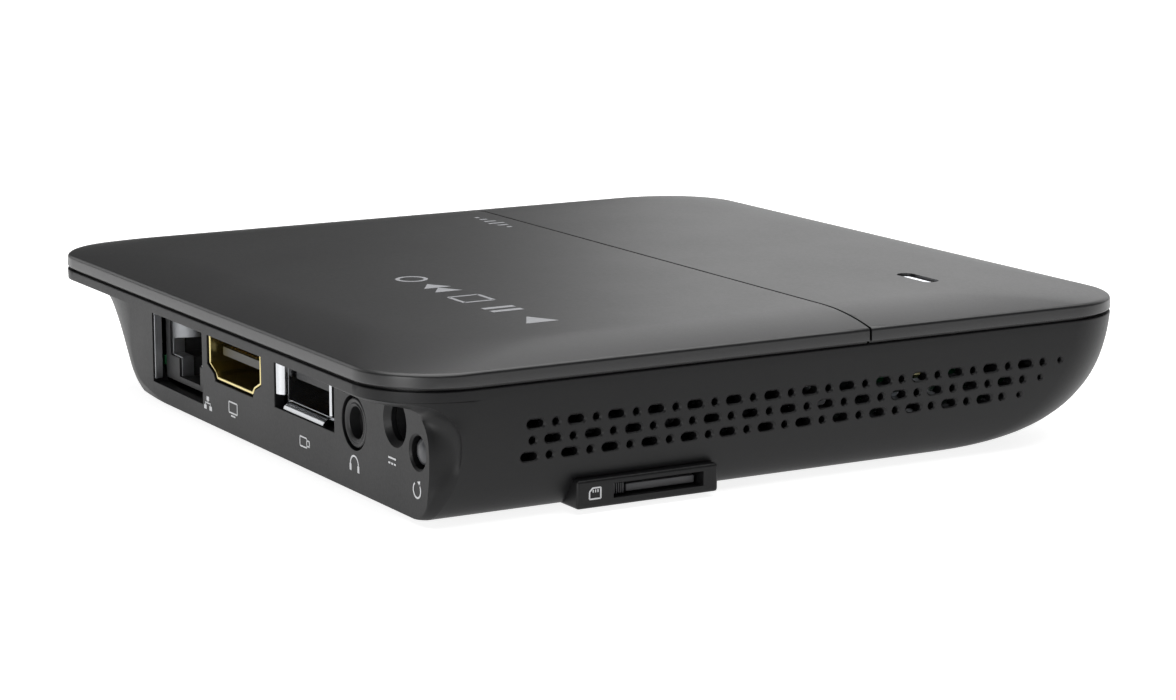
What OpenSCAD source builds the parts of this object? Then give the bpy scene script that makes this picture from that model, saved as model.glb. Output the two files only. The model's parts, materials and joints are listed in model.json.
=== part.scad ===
// Compact streaming media player: a shallow square box with a two-piece lid,
// a bowl-shaped lower shell, a recessed port panel and a side card slot.
//
// +Z is up, +Y is the rear (ports), -Y is the front (status light),
// -X is the vented side with the card slot. The origin is the centre of the
// footprint, on the surface that the rubber feet rest on. Millimetres.

/* [Case] */
// Width of the case, side to side
body_w = 100; // [98:0.5:104]
// Depth of the case, front to rear
body_d = 98.8; // [97:0.2:102]
// Height of the lower shell, from its underside to the parting line
shell_h = 14.5; // [14.5:0.1:15.5]
// Height of the rubber feet below the lower shell
foot_h = 0.6; // [0.4:0.1:1]
// Radius of the case corners in plan
corner_r = 9.5; // [8:0.5:12]
// Wall thickness of the mouldings
wall = 1.6; // [1.4:0.1:1.8]

/* [Lid] */
// Height of the lid's side wall above the parting line
lid_side_h = 1.8; // [1.6:0.1:2.2]
// Radius of the arc that rolls the lid's edge down
crown_r = 40; // [36:1:60]
// Width of the rolled band along the lid's edge
crown_band = 10; // [8:0.5:11]
// Place of the seam between the rear and front lid, along Y
seam_y = -10.4; // [-11:0.1:-10]
// Width of the seam
seam_gap = 0.3; // [0.2:0.05:0.4]

/* [Lower shell curves] */
// How far the vented side curves in at the bottom
near_reach = 5; // [4:0.5:6]
// How far the plain side curves in at the bottom
far_reach = 18; // [16:0.5:18.5]
// How far the front curves in at the bottom
front_reach = 18; // [16:0.5:18.5]
// Depth of the port panel below the overhanging rear edge
panel_inset = 5.2; // [5:0.1:5.4]
// Thickness of the port panel
panel_t = 1.2; // [1:0.1:1.2]

/* [Vents] */
// Spacing of the slots along a row
vent_pitch = 4.98; // [4.8:0.02:5.1]
// Length of one slot
vent_slot_l = 2.2; // [1.8:0.1:2.4]
// Height of one slot
vent_slot_h = 1; // [0.8:0.05:1.1]
// Diameter of the small holes between the slots
vent_dot_d = 0.85; // [0.6:0.05:0.9]
// Slots in the top row
vent_count = 14; // [8:1:15]

/* [Circuit board] */
// Height of the board's top face above the resting surface
board_z = 5.9; // [5.9:0.05:6]
// Thickness of the board
board_t = 1.2; // [1:0.1:1.2]

/* [Sockets] */
// Bore of the audio socket
audio_bore_d = 3.6; // [3.55:0.01:3.65]
// Depth of the audio socket's bore
audio_bore_l = 13; // [12:0.5:13]
// Bore of the power socket
power_bore_d = 4.2; // [4.1:0.05:4.3]
// Diameter of the power socket's centre pin
power_pin_d = 1.65; // [1.6:0.05:1.7]
// Length of the power socket's centre pin
power_pin_l = 8.5; // [8:0.5:9]

/* [Moving parts] */
// Diameter of the reset button
reset_d = 3; // [2.8:0.1:3.1]
// Travel of the reset button
reset_travel = 0.5; // [0.3:0.05:0.5]
// Travel of the card slider
slider_travel = 1.3; // [1:0.1:1.4]

/* [Hidden] */

half_w = body_w / 2;
half_d = body_d / 2;
shell_z = foot_h;
floor_z = shell_z + wall;
parting_z = shell_z + shell_h;
shadow_gap = 0.3;
shadow_depth = 0.5;
crown_drop = crown_r - sqrt(crown_r * crown_r - crown_band * crown_band);
top_z = parting_z + lid_side_h + crown_drop;
ceiling_z = parting_z - 0.8;
panel_y = half_d - panel_inset;
panel_in_y = panel_y - panel_t;
near_bay_x = -26; // where the port panel's bays meet
network_bay_x = 11;
board_low_z = board_z - board_t;
through = 200;
nick = 0.02;

near_power = 2.6;
far_power = 1.35;
front_power = 2.5;
near_rear = [3, 3]; // plan corner of the port panel on the vented side, along X and Y
far_rear = [15.6, 8.8]; // and on the plain side, where it sweeps forward
corner_grow = 3.5; // how much the front corners widen on the way down
corner_turns = [22.5, 45, 67.5];
curve_steps = 14;
corner_steps = 10;

// Screws
case_screw_at = [[-42.5, 2], [30, 20], [-38, -34], [28, -34]];
case_screw_d = 2.4;
case_head_d = 4.4;
case_boss_d = 6.8;
case_seat_z = 2.6;
case_screw_top = 12;
board_screw_at = [[-43, -20], [32.5, -8], [3, 26.5]];
board_screw_d = 2;
board_head_d = 4;
board_post_d = 5.2;
foot_at = [[-38, 35], [27, 35], [-38, -23], [27, -23]];
foot_d = 8;
foot_sunk = 0.6;

// Vents: the first slot of the top row, its height, and the step down to the next row
vent_y = 32.4;
vent_z = 10.65;
vent_row_gap = 1.8;

// Board outline
board_x0 = -47;
board_x1 = 36;
board_y0 = -41;
board_y1 = 42.6;

// Sockets, each placed by its centre along X and its height
network_x = 19.4;
network_w = 15.2;
network_z0 = 3;
network_z1 = 14.1;
network_l = 16;
network_open_w = 11.9;
network_open_z0 = 6.3;
network_open_z1 = 13;
network_latch_w = 6.4;
network_latch_z = 4;
shield_t = 0.3;
hdmi_x = 2.4;
hdmi_z = 6.45;
hdmi_w = 15.06;
hdmi_h = 5.55;
hdmi_low_w = 10.2;
hdmi_step = 1.85;
hdmi_l = 12;
hdmi_t = 0.35;
usb_x = -17.1;
usb_z = 7;
usb_w = 13.1;
usb_h = 5.7;
usb_l = 14.4;
usb_flare = 1.1;
audio_x = -30.1;
audio_z = 8.3;
audio_w = 6.2;
audio_nose_d = 5.6;
power_x = -40.1;
power_z = 10.3;
power_w = 6;
power_l = 12;
power_bore_l = 9.5;
power_root_d = 2.4;
socket_face_y = panel_y - 0.15;
reset_x = -45.4;
reset_z = 8;
reset_hole_d = reset_d + 0.6;

// Status light, in the front lid
light_x = -31.1;
light_y = -30.3;
light_l = 6;
light_w = 1.4;

// Card slot
card_y = 17.2;
card_z = 2.27;
card_slot_w = 11.4;
card_slot_h = 1.65;
card_x0 = -46.9;
card_x1 = -31.9;
card_w = 14.2;
card_pad_y0 = 9.6;
card_pad_y1 = 27.4;
card_pad_top = 3.8;
card_pad_x = -49.9;
card_pocket_z = 1.15;

// ---------- shared shapes ----------

// Points of an arc about [cx, cy], with its radius along X and along Y in r
function arc(cx, cy, r, a0, a1) = [for (i = [0:corner_steps])
    let (a = a0 + (a1 - a0) * i / corner_steps) [cx + r[0] * cos(a), cy + r[1] * sin(a)]];

// A rounded rectangle in plan: one radius at the front corners, a pair at each rear corner
function plan(x0, x1, y0, y1, front, rear_far, rear_near) = concat(
    arc(x0 + front, y0 + front, [front, front], 180, 270),
    arc(x1 - front, y0 + front, [front, front], 270, 360),
    arc(x1 - rear_far[0], y1 - rear_far[1], rear_far, 0, 90),
    arc(x0 + rear_near[0], y1 - rear_near[1], rear_near, 90, 180));

// How a wall curves in on its way down, at a share of the height: inset, then height
function inset_at(reach, power, t) = reach * (1 - pow(1 - pow(t, power), 1 / power));
function steps_down() = [for (i = [0:curve_steps]) pow(sin(90 * i / curve_steps), 0.8)];
function wall_curve(reach, power, z_top, z_low) =
    [for (t = steps_down()) [inset_at(reach, power, t), z_top - (z_top - z_low) * t]];

function reversed(list) = [for (i = [len(list) - 1:-1:0]) list[i]];

// A profile drawn in X and Z, run along Y
module along_y(points, y0 = -through / 2, y1 = through / 2)
    translate([0, y1, 0]) rotate([90, 0, 0]) linear_extrude(y1 - y0) polygon(points);

// A profile drawn in Y and Z, run along X
module along_x(points, x0 = -through / 2, x1 = through / 2)
    translate([x0, 0, 0]) rotate([90, 0, 90]) linear_extrude(x1 - x0) polygon(points);

// A box from corner to corner
module block(x0, x1, y0, y1, z0, z1)
    translate([x0, y0, z0]) cube([x1 - x0, y1 - y0, z1 - z0]);

// A box centred on a point in X and Y, standing on z0
module chip(x, y, w, d, z0, h)
    block(x - w / 2, x + w / 2, y - d / 2, y + d / 2, z0, z0 + h);

// A round bar along Z, and one along Y
module rod_z(x, y, d, z0, z1)
    translate([x, y, z0]) cylinder(d = d, h = z1 - z0, $fn = 48);

module rod_y(x, z, d, y0, y1)
    translate([x, y1, z]) rotate([90, 0, 0]) cylinder(d = d, h = y1 - y0, $fn = 48);

// A flat bar along X with round ends
module slot_z(x, y, l, w, z0, z1) {
    block(x - (l - w) / 2, x + (l - w) / 2, y - w / 2, y + w / 2, z0, z1);
    rod_z(x - (l - w) / 2, y, w, z0, z1);
    rod_z(x + (l - w) / 2, y, w, z0, z1);
}

// ---------- case ----------

// The bowl that the lower shell is cut from: three profiles meeting
module bowl(inset, low_z, rear_y, lift) {
    w = half_w - inset;
    d = half_d - inset;
    near = wall_curve(near_reach, near_power, parting_z, low_z);
    far = wall_curve(far_reach, far_power, parting_z, low_z);
    front = wall_curve(front_reach, front_power, parting_z, low_z);
    intersection() {
        translate([0, 0, low_z - 1]) linear_extrude(parting_z + lift - low_z + 1)
            polygon(plan(-w, w, -d, rear_y, corner_r - inset, far_rear - [inset, inset],
                near_rear - [inset, inset]));
        along_y(concat([[-w, parting_z + lift]], [for (p = near) [p[0] - w, p[1]]],
            [for (p = reversed(far)) [w - p[0], p[1]]], [[w, parting_z + lift]]));
        along_x(concat([[-d, parting_z + lift]], [for (p = front) [p[0] - d, p[1]]],
            [[rear_y, low_z], [rear_y, parting_z + lift]]));
        for (turn = corner_turns) corner_cut(turn, -1, near_reach, near_power, inset, low_z, lift);
        for (turn = corner_turns) corner_cut(turn, 1, far_reach, far_power, inset, low_z, lift);
    }
}

// What the bowl keeps at a front corner, seen along one turn of it: the corner's centre
// moves inwards and its radius grows on the way down. side is -1 for the vented side.
module corner_cut(turn, side, reach, power, inset, low_z, lift) {
    edge = [for (t = steps_down())
        let (r = corner_r - inset + corner_grow * t,
            x = half_w - inset - inset_at(reach, power, t) - r,
            y = half_d - inset - inset_at(front_reach, front_power, t) - r)
        [x * cos(turn) + y * sin(turn) + r, parting_z - (parting_z - low_z) * t]];
    scale([side, 1, 1]) rotate([0, 0, -turn])
        along_y(concat([[-through, parting_z + lift], [edge[0][0], parting_z + lift]], edge,
            [[-through, low_z]]));
}

// The thin rim that carries the lid and overhangs the ports
module rim() {
    translate([0, 0, ceiling_z]) linear_extrude(parting_z - ceiling_z)
        polygon(lid_plan(0));
}

// The lid's outline in plan, drawn inwards by e
function lid_plan(e) = let (r = [corner_r - e, corner_r - e])
    plan(e - half_w, half_w - e, e - half_d, half_d - e, r[0], r, r);

// The pad around the card slot, with round corners
module card_pad() {
    r = 1.2;
    for (y = [card_pad_y0 + r, card_pad_y1 - r])
        translate([card_pad_x, y, card_pad_top - r]) rotate([0, 90, 0])
            cylinder(r = r, h = 6, $fn = 32);
    block(card_pad_x, card_pad_x + 6, card_pad_y0 + r, card_pad_y1 - r, shell_z, card_pad_top);
    block(card_pad_x, card_pad_x + 6, card_pad_y0, card_pad_y1, shell_z, card_pad_top - r);
}

module vent_slot(y, z) {
    l = vent_slot_l / 2;
    h = vent_slot_h / 2;
    k = l - h * 0.6;
    along_x([[y - l, z - h * 0.35], [y - k, z - h], [y + k, z - h], [y + l, z - h * 0.35],
        [y + l, z + h * 0.35], [y + k, z + h], [y - k, z + h], [y - l, z + h * 0.35]],
        -half_w - 1, -half_w + 4);
}

module vent_dot(y, z, d) {
    translate([-half_w - 1, y, z]) rotate([0, 90, 0]) cylinder(d = d, h = 5, $fn = 16);
}

// One row of slots with a hole between each two, fading out towards the front
module vent_row(y_first, z, count, lead_dot) {
    y_last = y_first - (count - 1) * vent_pitch;
    for (i = [0:count - 1]) vent_slot(y_first - i * vent_pitch, z);
    for (i = [0:count - 1]) vent_dot(y_first - (i + 0.5) * vent_pitch, z, vent_dot_d);
    vent_dot(y_last - vent_pitch, z, vent_dot_d * 0.65);
    if (lead_dot) vent_dot(y_first + vent_pitch / 2, z, vent_dot_d);
}

module vents() {
    vent_row(vent_y, vent_z, vent_count, false);
    vent_row(vent_y - 2.2, vent_z - vent_row_gap, vent_count - 1, true);
    vent_row(vent_y + 0.6, vent_z - 2 * vent_row_gap, vent_count - 1, false);
}

// The openings in the port panel, each a little larger than its socket
module port_windows() {
    gap = 0.25;
    y0 = panel_in_y - 1;
    y1 = panel_y + 1;
    block(network_x - network_w / 2, network_x + network_w / 2 + gap, y0, y1,
        network_z0 - gap, network_z1 - gap);
    translate([hdmi_x, 0, hdmi_z]) along_y(hdmi_outline(-gap), y0, y1);
    block(usb_x - usb_w / 2 - usb_flare - gap, usb_x + usb_w / 2 + usb_flare + gap, y0, y1,
        usb_z - 0.75, usb_z + usb_h + 0.75);
    rod_y(audio_x, audio_z, audio_nose_d + 2 * gap, y0, y1);
    rod_y(power_x, power_z, power_bore_d + 0.8, y0, y1);
    translate([power_x, panel_y + nick, power_z]) rotate([90, 0, 0])
        cylinder(d1 = power_bore_d + 2.2, d2 = power_bore_d + 0.8, h = 0.7, $fn = 48);
    rod_y(reset_x, reset_z, reset_hole_d, y0, y1);
}

// The bowl's skin up to the rim, between two planes across its depth and two along its width
module bowl_part(y0, y1, x0 = -half_w, x1 = half_w) {
    intersection() {
        bowl(0, shell_z, panel_y, 0);
        block(x0, x1, y0, y1, shell_z, ceiling_z);
    }
}

module lower_shell() color("#2c2d2f") {
    difference() {
        union() {
            difference() {
                union() {
                    bowl_part(-half_d, panel_in_y);
                    rim();
                    card_pad();
                }
                bowl(wall, floor_z, panel_in_y + nick, 2);
            }
            intersection() {
                bowl(wall / 2, shell_z + 0.1, panel_in_y + 0.5, 2);
                union() {
                    for (p = case_screw_at)
                        rod_z(p[0], p[1], case_boss_d, shell_z + 0.1, board_low_z);
                    for (p = board_screw_at)
                        rod_z(p[0], p[1], board_post_d, shell_z + 0.1, board_low_z);
                }
            }
        }
        vents();
        block(-half_w - 1, -45, card_y - card_slot_w / 2, card_y + card_slot_w / 2,
            card_z - card_slot_h / 2, card_z + card_slot_h / 2);
        block(card_x0 - 0.4, card_x1 + 0.4, card_y - card_w / 2 - 0.4, card_y + card_w / 2 + 0.4,
            card_pocket_z, board_low_z);
        for (p = case_screw_at) {
            rod_z(p[0], p[1], case_head_d + 0.6, -1, case_seat_z);
            rod_z(p[0], p[1], case_screw_d + 0.4, case_seat_z - 1, board_z);
        }
        for (p = board_screw_at) rod_z(p[0], p[1], board_screw_d + 0.04, floor_z, board_z);
        for (p = foot_at) rod_z(p[0], p[1], foot_d, -1, shell_z + foot_sunk);
    }
}

// The rear wall, a plate with the sockets' openings
// One bay of the port panel, with its windows
module panel_bay(x0, x1) color("#343537") {
    difference() {
        bowl_part(panel_in_y, panel_y, x0, x1);
        port_windows();
    }
}

module near_bay() panel_bay(-half_w, near_bay_x);

module middle_bay() panel_bay(near_bay_x, network_bay_x);

module network_bay() panel_bay(network_bay_x, half_w);

// The lid's crowned top: flat in the middle, rolled down along the outer edges.
// The edge at the seam stays flat.
module crown(inset, drop, y0, y1, roll_front, roll_rear) {
    w = half_w;
    d = half_d;
    sink = asin(crown_band / crown_r);
    far_side = [for (i = [0:8]) [w - crown_band + crown_r * sin(sink * i / 8),
        top_z - drop - crown_r * (1 - cos(sink * i / 8))]];
    rear_side = [for (p = far_side) [p[0] - w + d, p[1]]];
    intersection() {
        linear_extrude(through) polygon(lid_plan(inset));
        block(-w, w, y0, y1, parting_z - 1, top_z);
        along_y(concat([[-w, 0], [w, 0]], reversed(far_side), [for (p = far_side) [-p[0], p[1]]]));
        along_x(concat([[-d, 0], [d, 0]],
            roll_rear ? reversed(rear_side) : [[d, top_z - drop]],
            roll_front ? [for (p = rear_side) [-p[0], p[1]]] : [[-d, top_z - drop]]));
    }
}

// One half of the lid: crowned top, side wall and screw bosses
module lid(y0, y1, roll_front, roll_rear, bosses) {
    lid_z = top_z - wall;
    difference() {
        union() {
            difference() {
                crown(0, 0, y0, y1, roll_front, roll_rear);
                crown(wall, wall, -through, through, roll_front, roll_rear);
                block(-half_w, half_w, -half_d, half_d, 0, parting_z);
                difference() {
                    block(-half_w - 1, half_w + 1, -half_d - 1, half_d + 1,
                        parting_z - 1, parting_z + shadow_gap);
                    linear_extrude(through) polygon(lid_plan(shadow_depth));
                }
            }
            for (p = bosses) rod_z(p[0], p[1], 5.6, board_z, lid_z + 0.2);
        }
        for (p = bosses) rod_z(p[0], p[1], case_screw_d + 0.04, 0, case_screw_top + 1);
    }
}

module rear_lid() color("#38393b") {
    tongue = 2;
    lid(seam_y + seam_gap / 2, half_d, false, true, [case_screw_at[0], case_screw_at[1]]);
    block(-40, 40, seam_y - tongue, seam_y + tongue, top_z - wall - 1.2, top_z - wall - nick);
    block(-40, 40, seam_y + seam_gap / 2, seam_y + tongue, top_z - wall - 1.2, top_z - wall + 0.2);
}

module front_lid() color("#45464a") {
    difference() {
        lid(-half_d, seam_y - seam_gap / 2, true, false, [case_screw_at[2], case_screw_at[3]]);
        slot_z(light_x, light_y, light_l + 1, light_w + 0.8, top_z - 0.35, top_z + 1);
        slot_z(light_x, light_y, light_l + 0.1, light_w + 0.1, 10, top_z + 1);
    }
}

module rubber_feet() color("#151515") {
    for (p = foot_at) rod_z(p[0], p[1], foot_d - 0.2, 0, shell_z + foot_sunk);
}

module case_screws() color("#8d8f92") {
    for (p = case_screw_at) difference() {
        union() {
            rod_z(p[0], p[1], case_head_d, case_seat_z - 1.4, case_seat_z);
            rod_z(p[0], p[1], case_screw_d, case_seat_z, case_screw_top);
        }
        cross_recess(p[0], p[1], case_seat_z - 1.4 - nick, case_seat_z - 0.7);
    }
}

// The recess of a cross-head screw
module cross_recess(x, y, z0, z1) {
    chip(x, y, 2.2, 0.5, z0, z1 - z0);
    chip(x, y, 0.5, 2.2, z0, z1 - z0);
}

module rating_label() color("#d0d0cc") {
    chip(-6, 8, 36, 20, shell_z - 0.1, 0.1);
}

// ---------- status light ----------

module light_pipe() color("#e8f0ff") {
    slot_z(light_x, light_y, light_l, light_w, 13, top_z - 0.3);
    slot_z(light_x, light_y, light_l + 2.4, light_w + 2.2, top_z - wall - 1, top_z - wall);
    rod_z(light_x, light_y, 3, 7.6, 13);
}

module status_led() color("#f4f2da") {
    chip(light_x, light_y, 3.2, 2.8, board_z, 0.8);
    rod_z(light_x, light_y, 2.2, board_z + 0.8, board_z + 1.1);
}

// ---------- circuit board ----------

module circuit_board() color("#1d5b38") {
    difference() {
        translate([0, 0, board_low_z]) linear_extrude(board_t)
            polygon(plan(board_x0, board_x1, board_y0, board_y1, 7, [3, 3], [1, 1]));
        block(network_x - network_w / 2 - 0.3, network_x + network_w / 2 + 0.3,
            socket_face_y - network_l - 1.4, board_y1 + 1, 0, 20);
        for (p = case_screw_at) rod_z(p[0], p[1], 3, 0, 20);
        for (p = board_screw_at) rod_z(p[0], p[1], 2.4, 0, 20);
    }
}

module board_screws() color("#a5a7aa") {
    for (p = board_screw_at) difference() {
        union() {
            rod_z(p[0], p[1], board_head_d, board_z, board_z + 1.1);
            rod_z(p[0], p[1], board_screw_d, floor_z + 0.6, board_z);
        }
        cross_recess(p[0], p[1], board_z + 0.5, board_z + 1.1 + nick);
    }
}

processor_h = 1.1;
pad_h = 0.5;
heat_sink_z = board_z + processor_h + pad_h;

module processor() color("#202124") { chip(-8, 2, 15, 15, board_z, processor_h); }

module thermal_pad() color("#9fb4c7") { chip(-8, 2, 14, 14, board_z + processor_h, pad_h); }

module heat_sink() color("#b9bcc0") {
    chip(-8, 2, 30, 30, heat_sink_z, 1.5);
    for (i = [0:9]) chip(-22.25 + i * 28.5 / 9, 2, 0.9, 30, heat_sink_z + 1.5 - nick, 4.2);
}

module memory_chips() color("#232427") {
    for (p = [[14, 10], [14, -5], [-15, -22], [-3, -22]]) chip(p[0], p[1], 9, 11, board_z, 1.1);
}

module flash_chip() color("#26272a") { chip(-31, -12, 12, 18, board_z, 1.1); }

module power_chips() color("#2a2b2e") {
    chip(-33, 17, 5, 5, board_z, 0.9);
    chip(-33, 6, 6, 6, board_z, 0.9);
    chip(25, 8, 4, 5, board_z, 1.4);
}

module power_inductors() color("#4a4c50") {
    for (p = [[-40, 20], [-40, 12], [-26.5, 22]]) difference() {
        chip(p[0], p[1], 6, 6, board_z, 3);
        rod_z(p[0], p[1], 4.6, board_z + 2.8, board_z + 4);
    }
}

module capacitors() color("#c4c7cb") {
    for (p = [[-19, 22.5], [-11, 23], [29, 2], [-41.5, -8]]) {
        chip(p[0], p[1], 5.3, 5.3, board_z, 0.8);
        rod_z(p[0], p[1], 5, board_z + 0.8, board_z + 6);
    }
}

module crystals() color("#d5d8da") {
    chip(8.4, 20.5, 5, 3.2, board_z, 1.1);
    chip(-28, 2.5, 3.2, 2.5, board_z, 0.9);
}

module network_transformer() color("#1f2022") {
    chip(20.4, 22.1, 12.6, 6.6, board_z, 4.5);
}

// ---------- wireless ----------

wifi_x = 19;
wifi_y = -24;

module wifi_module() color("#20623d") {
    chip(wifi_x, wifi_y, 13, 12, board_z, 0.8);
    rod_z(wifi_x - 5.5, wifi_y - 4.4, 1.9, board_z + 0.8, board_z + 1.4);
}

module wifi_shield() color("#c9ccd0") { chip(wifi_x + 1, wifi_y + 0.8, 10.4, 9.8, board_z + 0.8, 1.5); }

antenna_z = top_z - wall - 0.8;

module antenna_board() color("#2d6a48") { chip(-3, -35.6, 34, 7, antenna_z, 0.8 - nick); }

// Coaxial lead: along the board, up, and along under the front lid
module antenna_lead() color("#2b2b2b") {
    lead_d = 1.13;
    bend = 3;
    low = board_z + 1.4 + lead_d / 2;
    high = antenna_z - lead_d / 2;
    x0 = wifi_x - 5.5;
    x1 = 5;
    y0 = wifi_y - 4.4;
    translate([x1 + bend, y0, low]) rotate([0, 90, 0]) cylinder(d = lead_d, h = x0 - x1 - bend, $fn = 24);
    translate([x1 + bend, y0, low + bend]) rotate([90, 0, 0]) rotate([0, 0, 180])
        rotate_extrude(angle = 90, $fn = 48) translate([bend, 0]) circle(d = lead_d, $fn = 24);
    translate([x1, y0, low + bend]) cylinder(d = lead_d, h = high - low - 2 * bend, $fn = 24);
    translate([x1, y0 - bend, high - bend]) rotate([90, 0, 90])
        rotate_extrude(angle = 90, $fn = 48) translate([bend, 0]) circle(d = lead_d, $fn = 24);
    translate([x1, y0 - bend, high]) rotate([90, 0, 0]) cylinder(d = lead_d, h = 5, $fn = 24);
}

// ---------- network socket ----------

network_y1 = panel_in_y - 0.1;
network_y0 = network_y1 - network_l;

// The plug's cavity and the notch for its latch
module network_cavity(y0) {
    block(network_x - network_open_w / 2, network_x + network_open_w / 2, y0, network_y1 + 1,
        network_open_z0, network_open_z1);
    block(network_x - network_latch_w / 2, network_x + network_latch_w / 2, y0, network_y1 + 1,
        network_latch_z, network_open_z0 + 1);
}

module network_housing() color("#17181a") {
    w = network_w / 2 - shield_t;
    difference() {
        block(network_x - w, network_x + w, network_y0 + shield_t, network_y1 - shield_t,
            network_z0 + shield_t, network_z1 - shield_t);
        network_cavity(network_y1 - 13);
    }
}

module network_shield() color("#c3c6ca") {
    w = network_w / 2;
    difference() {
        block(network_x - w, network_x + w, network_y0, network_y1, network_z0, network_z1);
        block(network_x - w + shield_t, network_x + w - shield_t, network_y0 + shield_t,
            network_y1 - shield_t, network_z0 + shield_t, network_z1 - shield_t);
        network_cavity(network_y1 - 2);
    }
}

// Eight sprung contacts that slope down from the roof of the cavity
module network_contacts() color("#d9b45a") {
    for (i = [0:7])
        along_x([[network_y1 - 3, network_open_z1 - nick], [network_y1 - 3.6, network_open_z1 - nick],
            [network_y1 - 10.5, 10.6], [network_y1 - 10.5, 10.2]],
            network_x - 3.57 + i * 1.02 - 0.17, network_x - 3.57 + i * 1.02 + 0.17);
}

// ---------- video socket ----------

// The D-shaped outline, standing on its bottom edge and drawn inwards by e
function hdmi_outline(e) = [
    [-hdmi_low_w / 2 + e * 0.6, e], [hdmi_low_w / 2 - e * 0.6, e],
    [hdmi_w / 2 - e, hdmi_step + e * 0.4], [hdmi_w / 2 - e, hdmi_h - e],
    [-hdmi_w / 2 + e, hdmi_h - e], [-hdmi_w / 2 + e, hdmi_step + e * 0.4]];

module hdmi_shell() color("#d8c9a0") {
    translate([hdmi_x, 0, hdmi_z]) difference() {
        along_y(hdmi_outline(0), socket_face_y - hdmi_l, socket_face_y);
        along_y(hdmi_outline(hdmi_t), socket_face_y - hdmi_l + hdmi_t, socket_face_y + 1);
    }
}

hdmi_tongue_z = hdmi_z + 2.75;

module hdmi_tongue() color("#1b1b19") {
    y0 = socket_face_y - hdmi_l + hdmi_t;
    translate([hdmi_x, 0, hdmi_z]) along_y(hdmi_outline(hdmi_t + nick), y0, y0 + 3);
    block(hdmi_x - 6, hdmi_x + 6, y0 + 2, socket_face_y - 1.2, hdmi_tongue_z, hdmi_tongue_z + 1);
}

module hdmi_contacts() color("#d9b45a") {
    y0 = socket_face_y - hdmi_l + hdmi_t + 3;
    for (i = [0:9]) block(hdmi_x - 4.65 + i, hdmi_x - 4.35 + i, y0, socket_face_y - 1.7,
        hdmi_tongue_z + 1, hdmi_tongue_z + 1.12);
    for (i = [0:8]) block(hdmi_x - 4.15 + i, hdmi_x - 3.85 + i, y0, socket_face_y - 1.7,
        hdmi_tongue_z - 0.12, hdmi_tongue_z);
}

// ---------- USB socket ----------

usb_t = 0.3;

module usb_shell() color("#c9ccd0") {
    y1 = socket_face_y;
    x0 = usb_x - usb_w / 2;
    x1 = usb_x + usb_w / 2;
    z1 = usb_z + usb_h;
    run = 1.3;
    difference() {
        block(x0, x1, y1 - usb_l, y1 - run, usb_z, z1);
        block(x0 + usb_t, x1 - usb_t, y1 - usb_l + usb_t, y1, usb_z + usb_t, z1 - usb_t);
    }
    for (side = [-1, 1]) translate([usb_x, 0, 0]) scale([side, 1, 1])
        translate([usb_w / 2, y1 - run, usb_z + 0.9]) linear_extrude(usb_h - 1.8)
            polygon([[-usb_t, 0], [0, 0], [usb_flare, run], [usb_flare - usb_t * 1.3, run]]);
    along_x([[y1 - run, usb_z + usb_t], [y1 - run, usb_z], [y1, usb_z - 0.6], [y1, usb_z - 0.2]],
        x0 + 1.2, x1 - 1.2);
    along_x([[y1 - run, z1 - usb_t], [y1 - run, z1], [y1, z1 + 0.6], [y1, z1 + 0.2]],
        x0 + 1.2, x1 - 1.2);
}

usb_tongue_z = usb_z + usb_h - usb_t - 0.75 - 1.84;

module usb_tongue() color("#141516") {
    y0 = socket_face_y - usb_l + usb_t;
    block(usb_x - usb_w / 2 + usb_t + nick, usb_x + usb_w / 2 - usb_t - nick, y0, y0 + 4,
        usb_z + usb_t + nick, usb_z + usb_h - usb_t - nick);
    block(usb_x - 5.5, usb_x + 5.5, y0 + 4 - nick, socket_face_y - 1.6, usb_tongue_z,
        usb_tongue_z + 1.84);
}

module usb_contacts() color("#d9b45a") {
    y0 = socket_face_y - usb_l + usb_t + 4;
    for (i = [0:3]) {
        x = usb_x + [-3.5, -1, 1, 3.5][i];
        block(x - 0.5, x + 0.5, y0, socket_face_y - (i % 3 == 0 ? 2.4 : 3.4),
            usb_tongue_z - 0.15, usb_tongue_z);
    }
}

// ---------- audio socket ----------

audio_y1 = panel_in_y - 0.1;
audio_y0 = audio_y1 - 12.4;

module audio_jack() color("#1c1c1e") {
    difference() {
        union() {
            block(audio_x - audio_w / 2, audio_x + audio_w / 2, audio_y0, audio_y1,
                board_z, audio_z + 2.8);
            rod_y(audio_x, audio_z, audio_nose_d, audio_y1 - 0.2, socket_face_y);
        }
        rod_y(audio_x, audio_z, audio_bore_d, socket_face_y - audio_bore_l, socket_face_y + 1);
        block(audio_x - 2.6, audio_x + 2.6, audio_y0 + 2, audio_y0 + 6, audio_z - 0.55,
            audio_z + 0.55);
    }
}

module audio_springs() color("#cfae5e") {
    for (side = [-1, 1])
        chip(audio_x + side * 2.2, audio_y0 + 4, 0.3, 3.6, audio_z - 0.45, 0.9);
}

// ---------- power socket ----------

power_y1 = panel_in_y - 0.1;
power_y0 = power_y1 - power_l;

module power_jack() color("#18191b") {
    difference() {
        block(power_x - power_w / 2, power_x + power_w / 2, power_y0, power_y1,
            board_z, power_z + 3.6);
        rod_y(power_x, power_z, power_bore_d, power_y1 - power_bore_l, power_y1 + 1);
        rod_y(power_x, power_z, power_root_d, power_y0 - 1, power_y1);
        block(power_x - 0.7, power_x + 0.7, power_y1 - 7, power_y1 - 2, power_z - 2.6, power_z);
    }
}

module power_pin() color("#d7d9dc") {
    rod_y(power_x, power_z, power_root_d, power_y0 + 0.5, power_y1 - power_bore_l);
    rod_y(power_x, power_z, power_pin_d, power_y1 - power_bore_l, power_y1 - power_bore_l + power_pin_l);
}

module power_spring() color("#cfae5e") {
    block(power_x - 0.6, power_x + 0.6, power_y1 - 6.9, power_y1 - 2.1, power_z - 2.58,
        power_z - 2.33);
}

// ---------- reset button ----------

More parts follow.
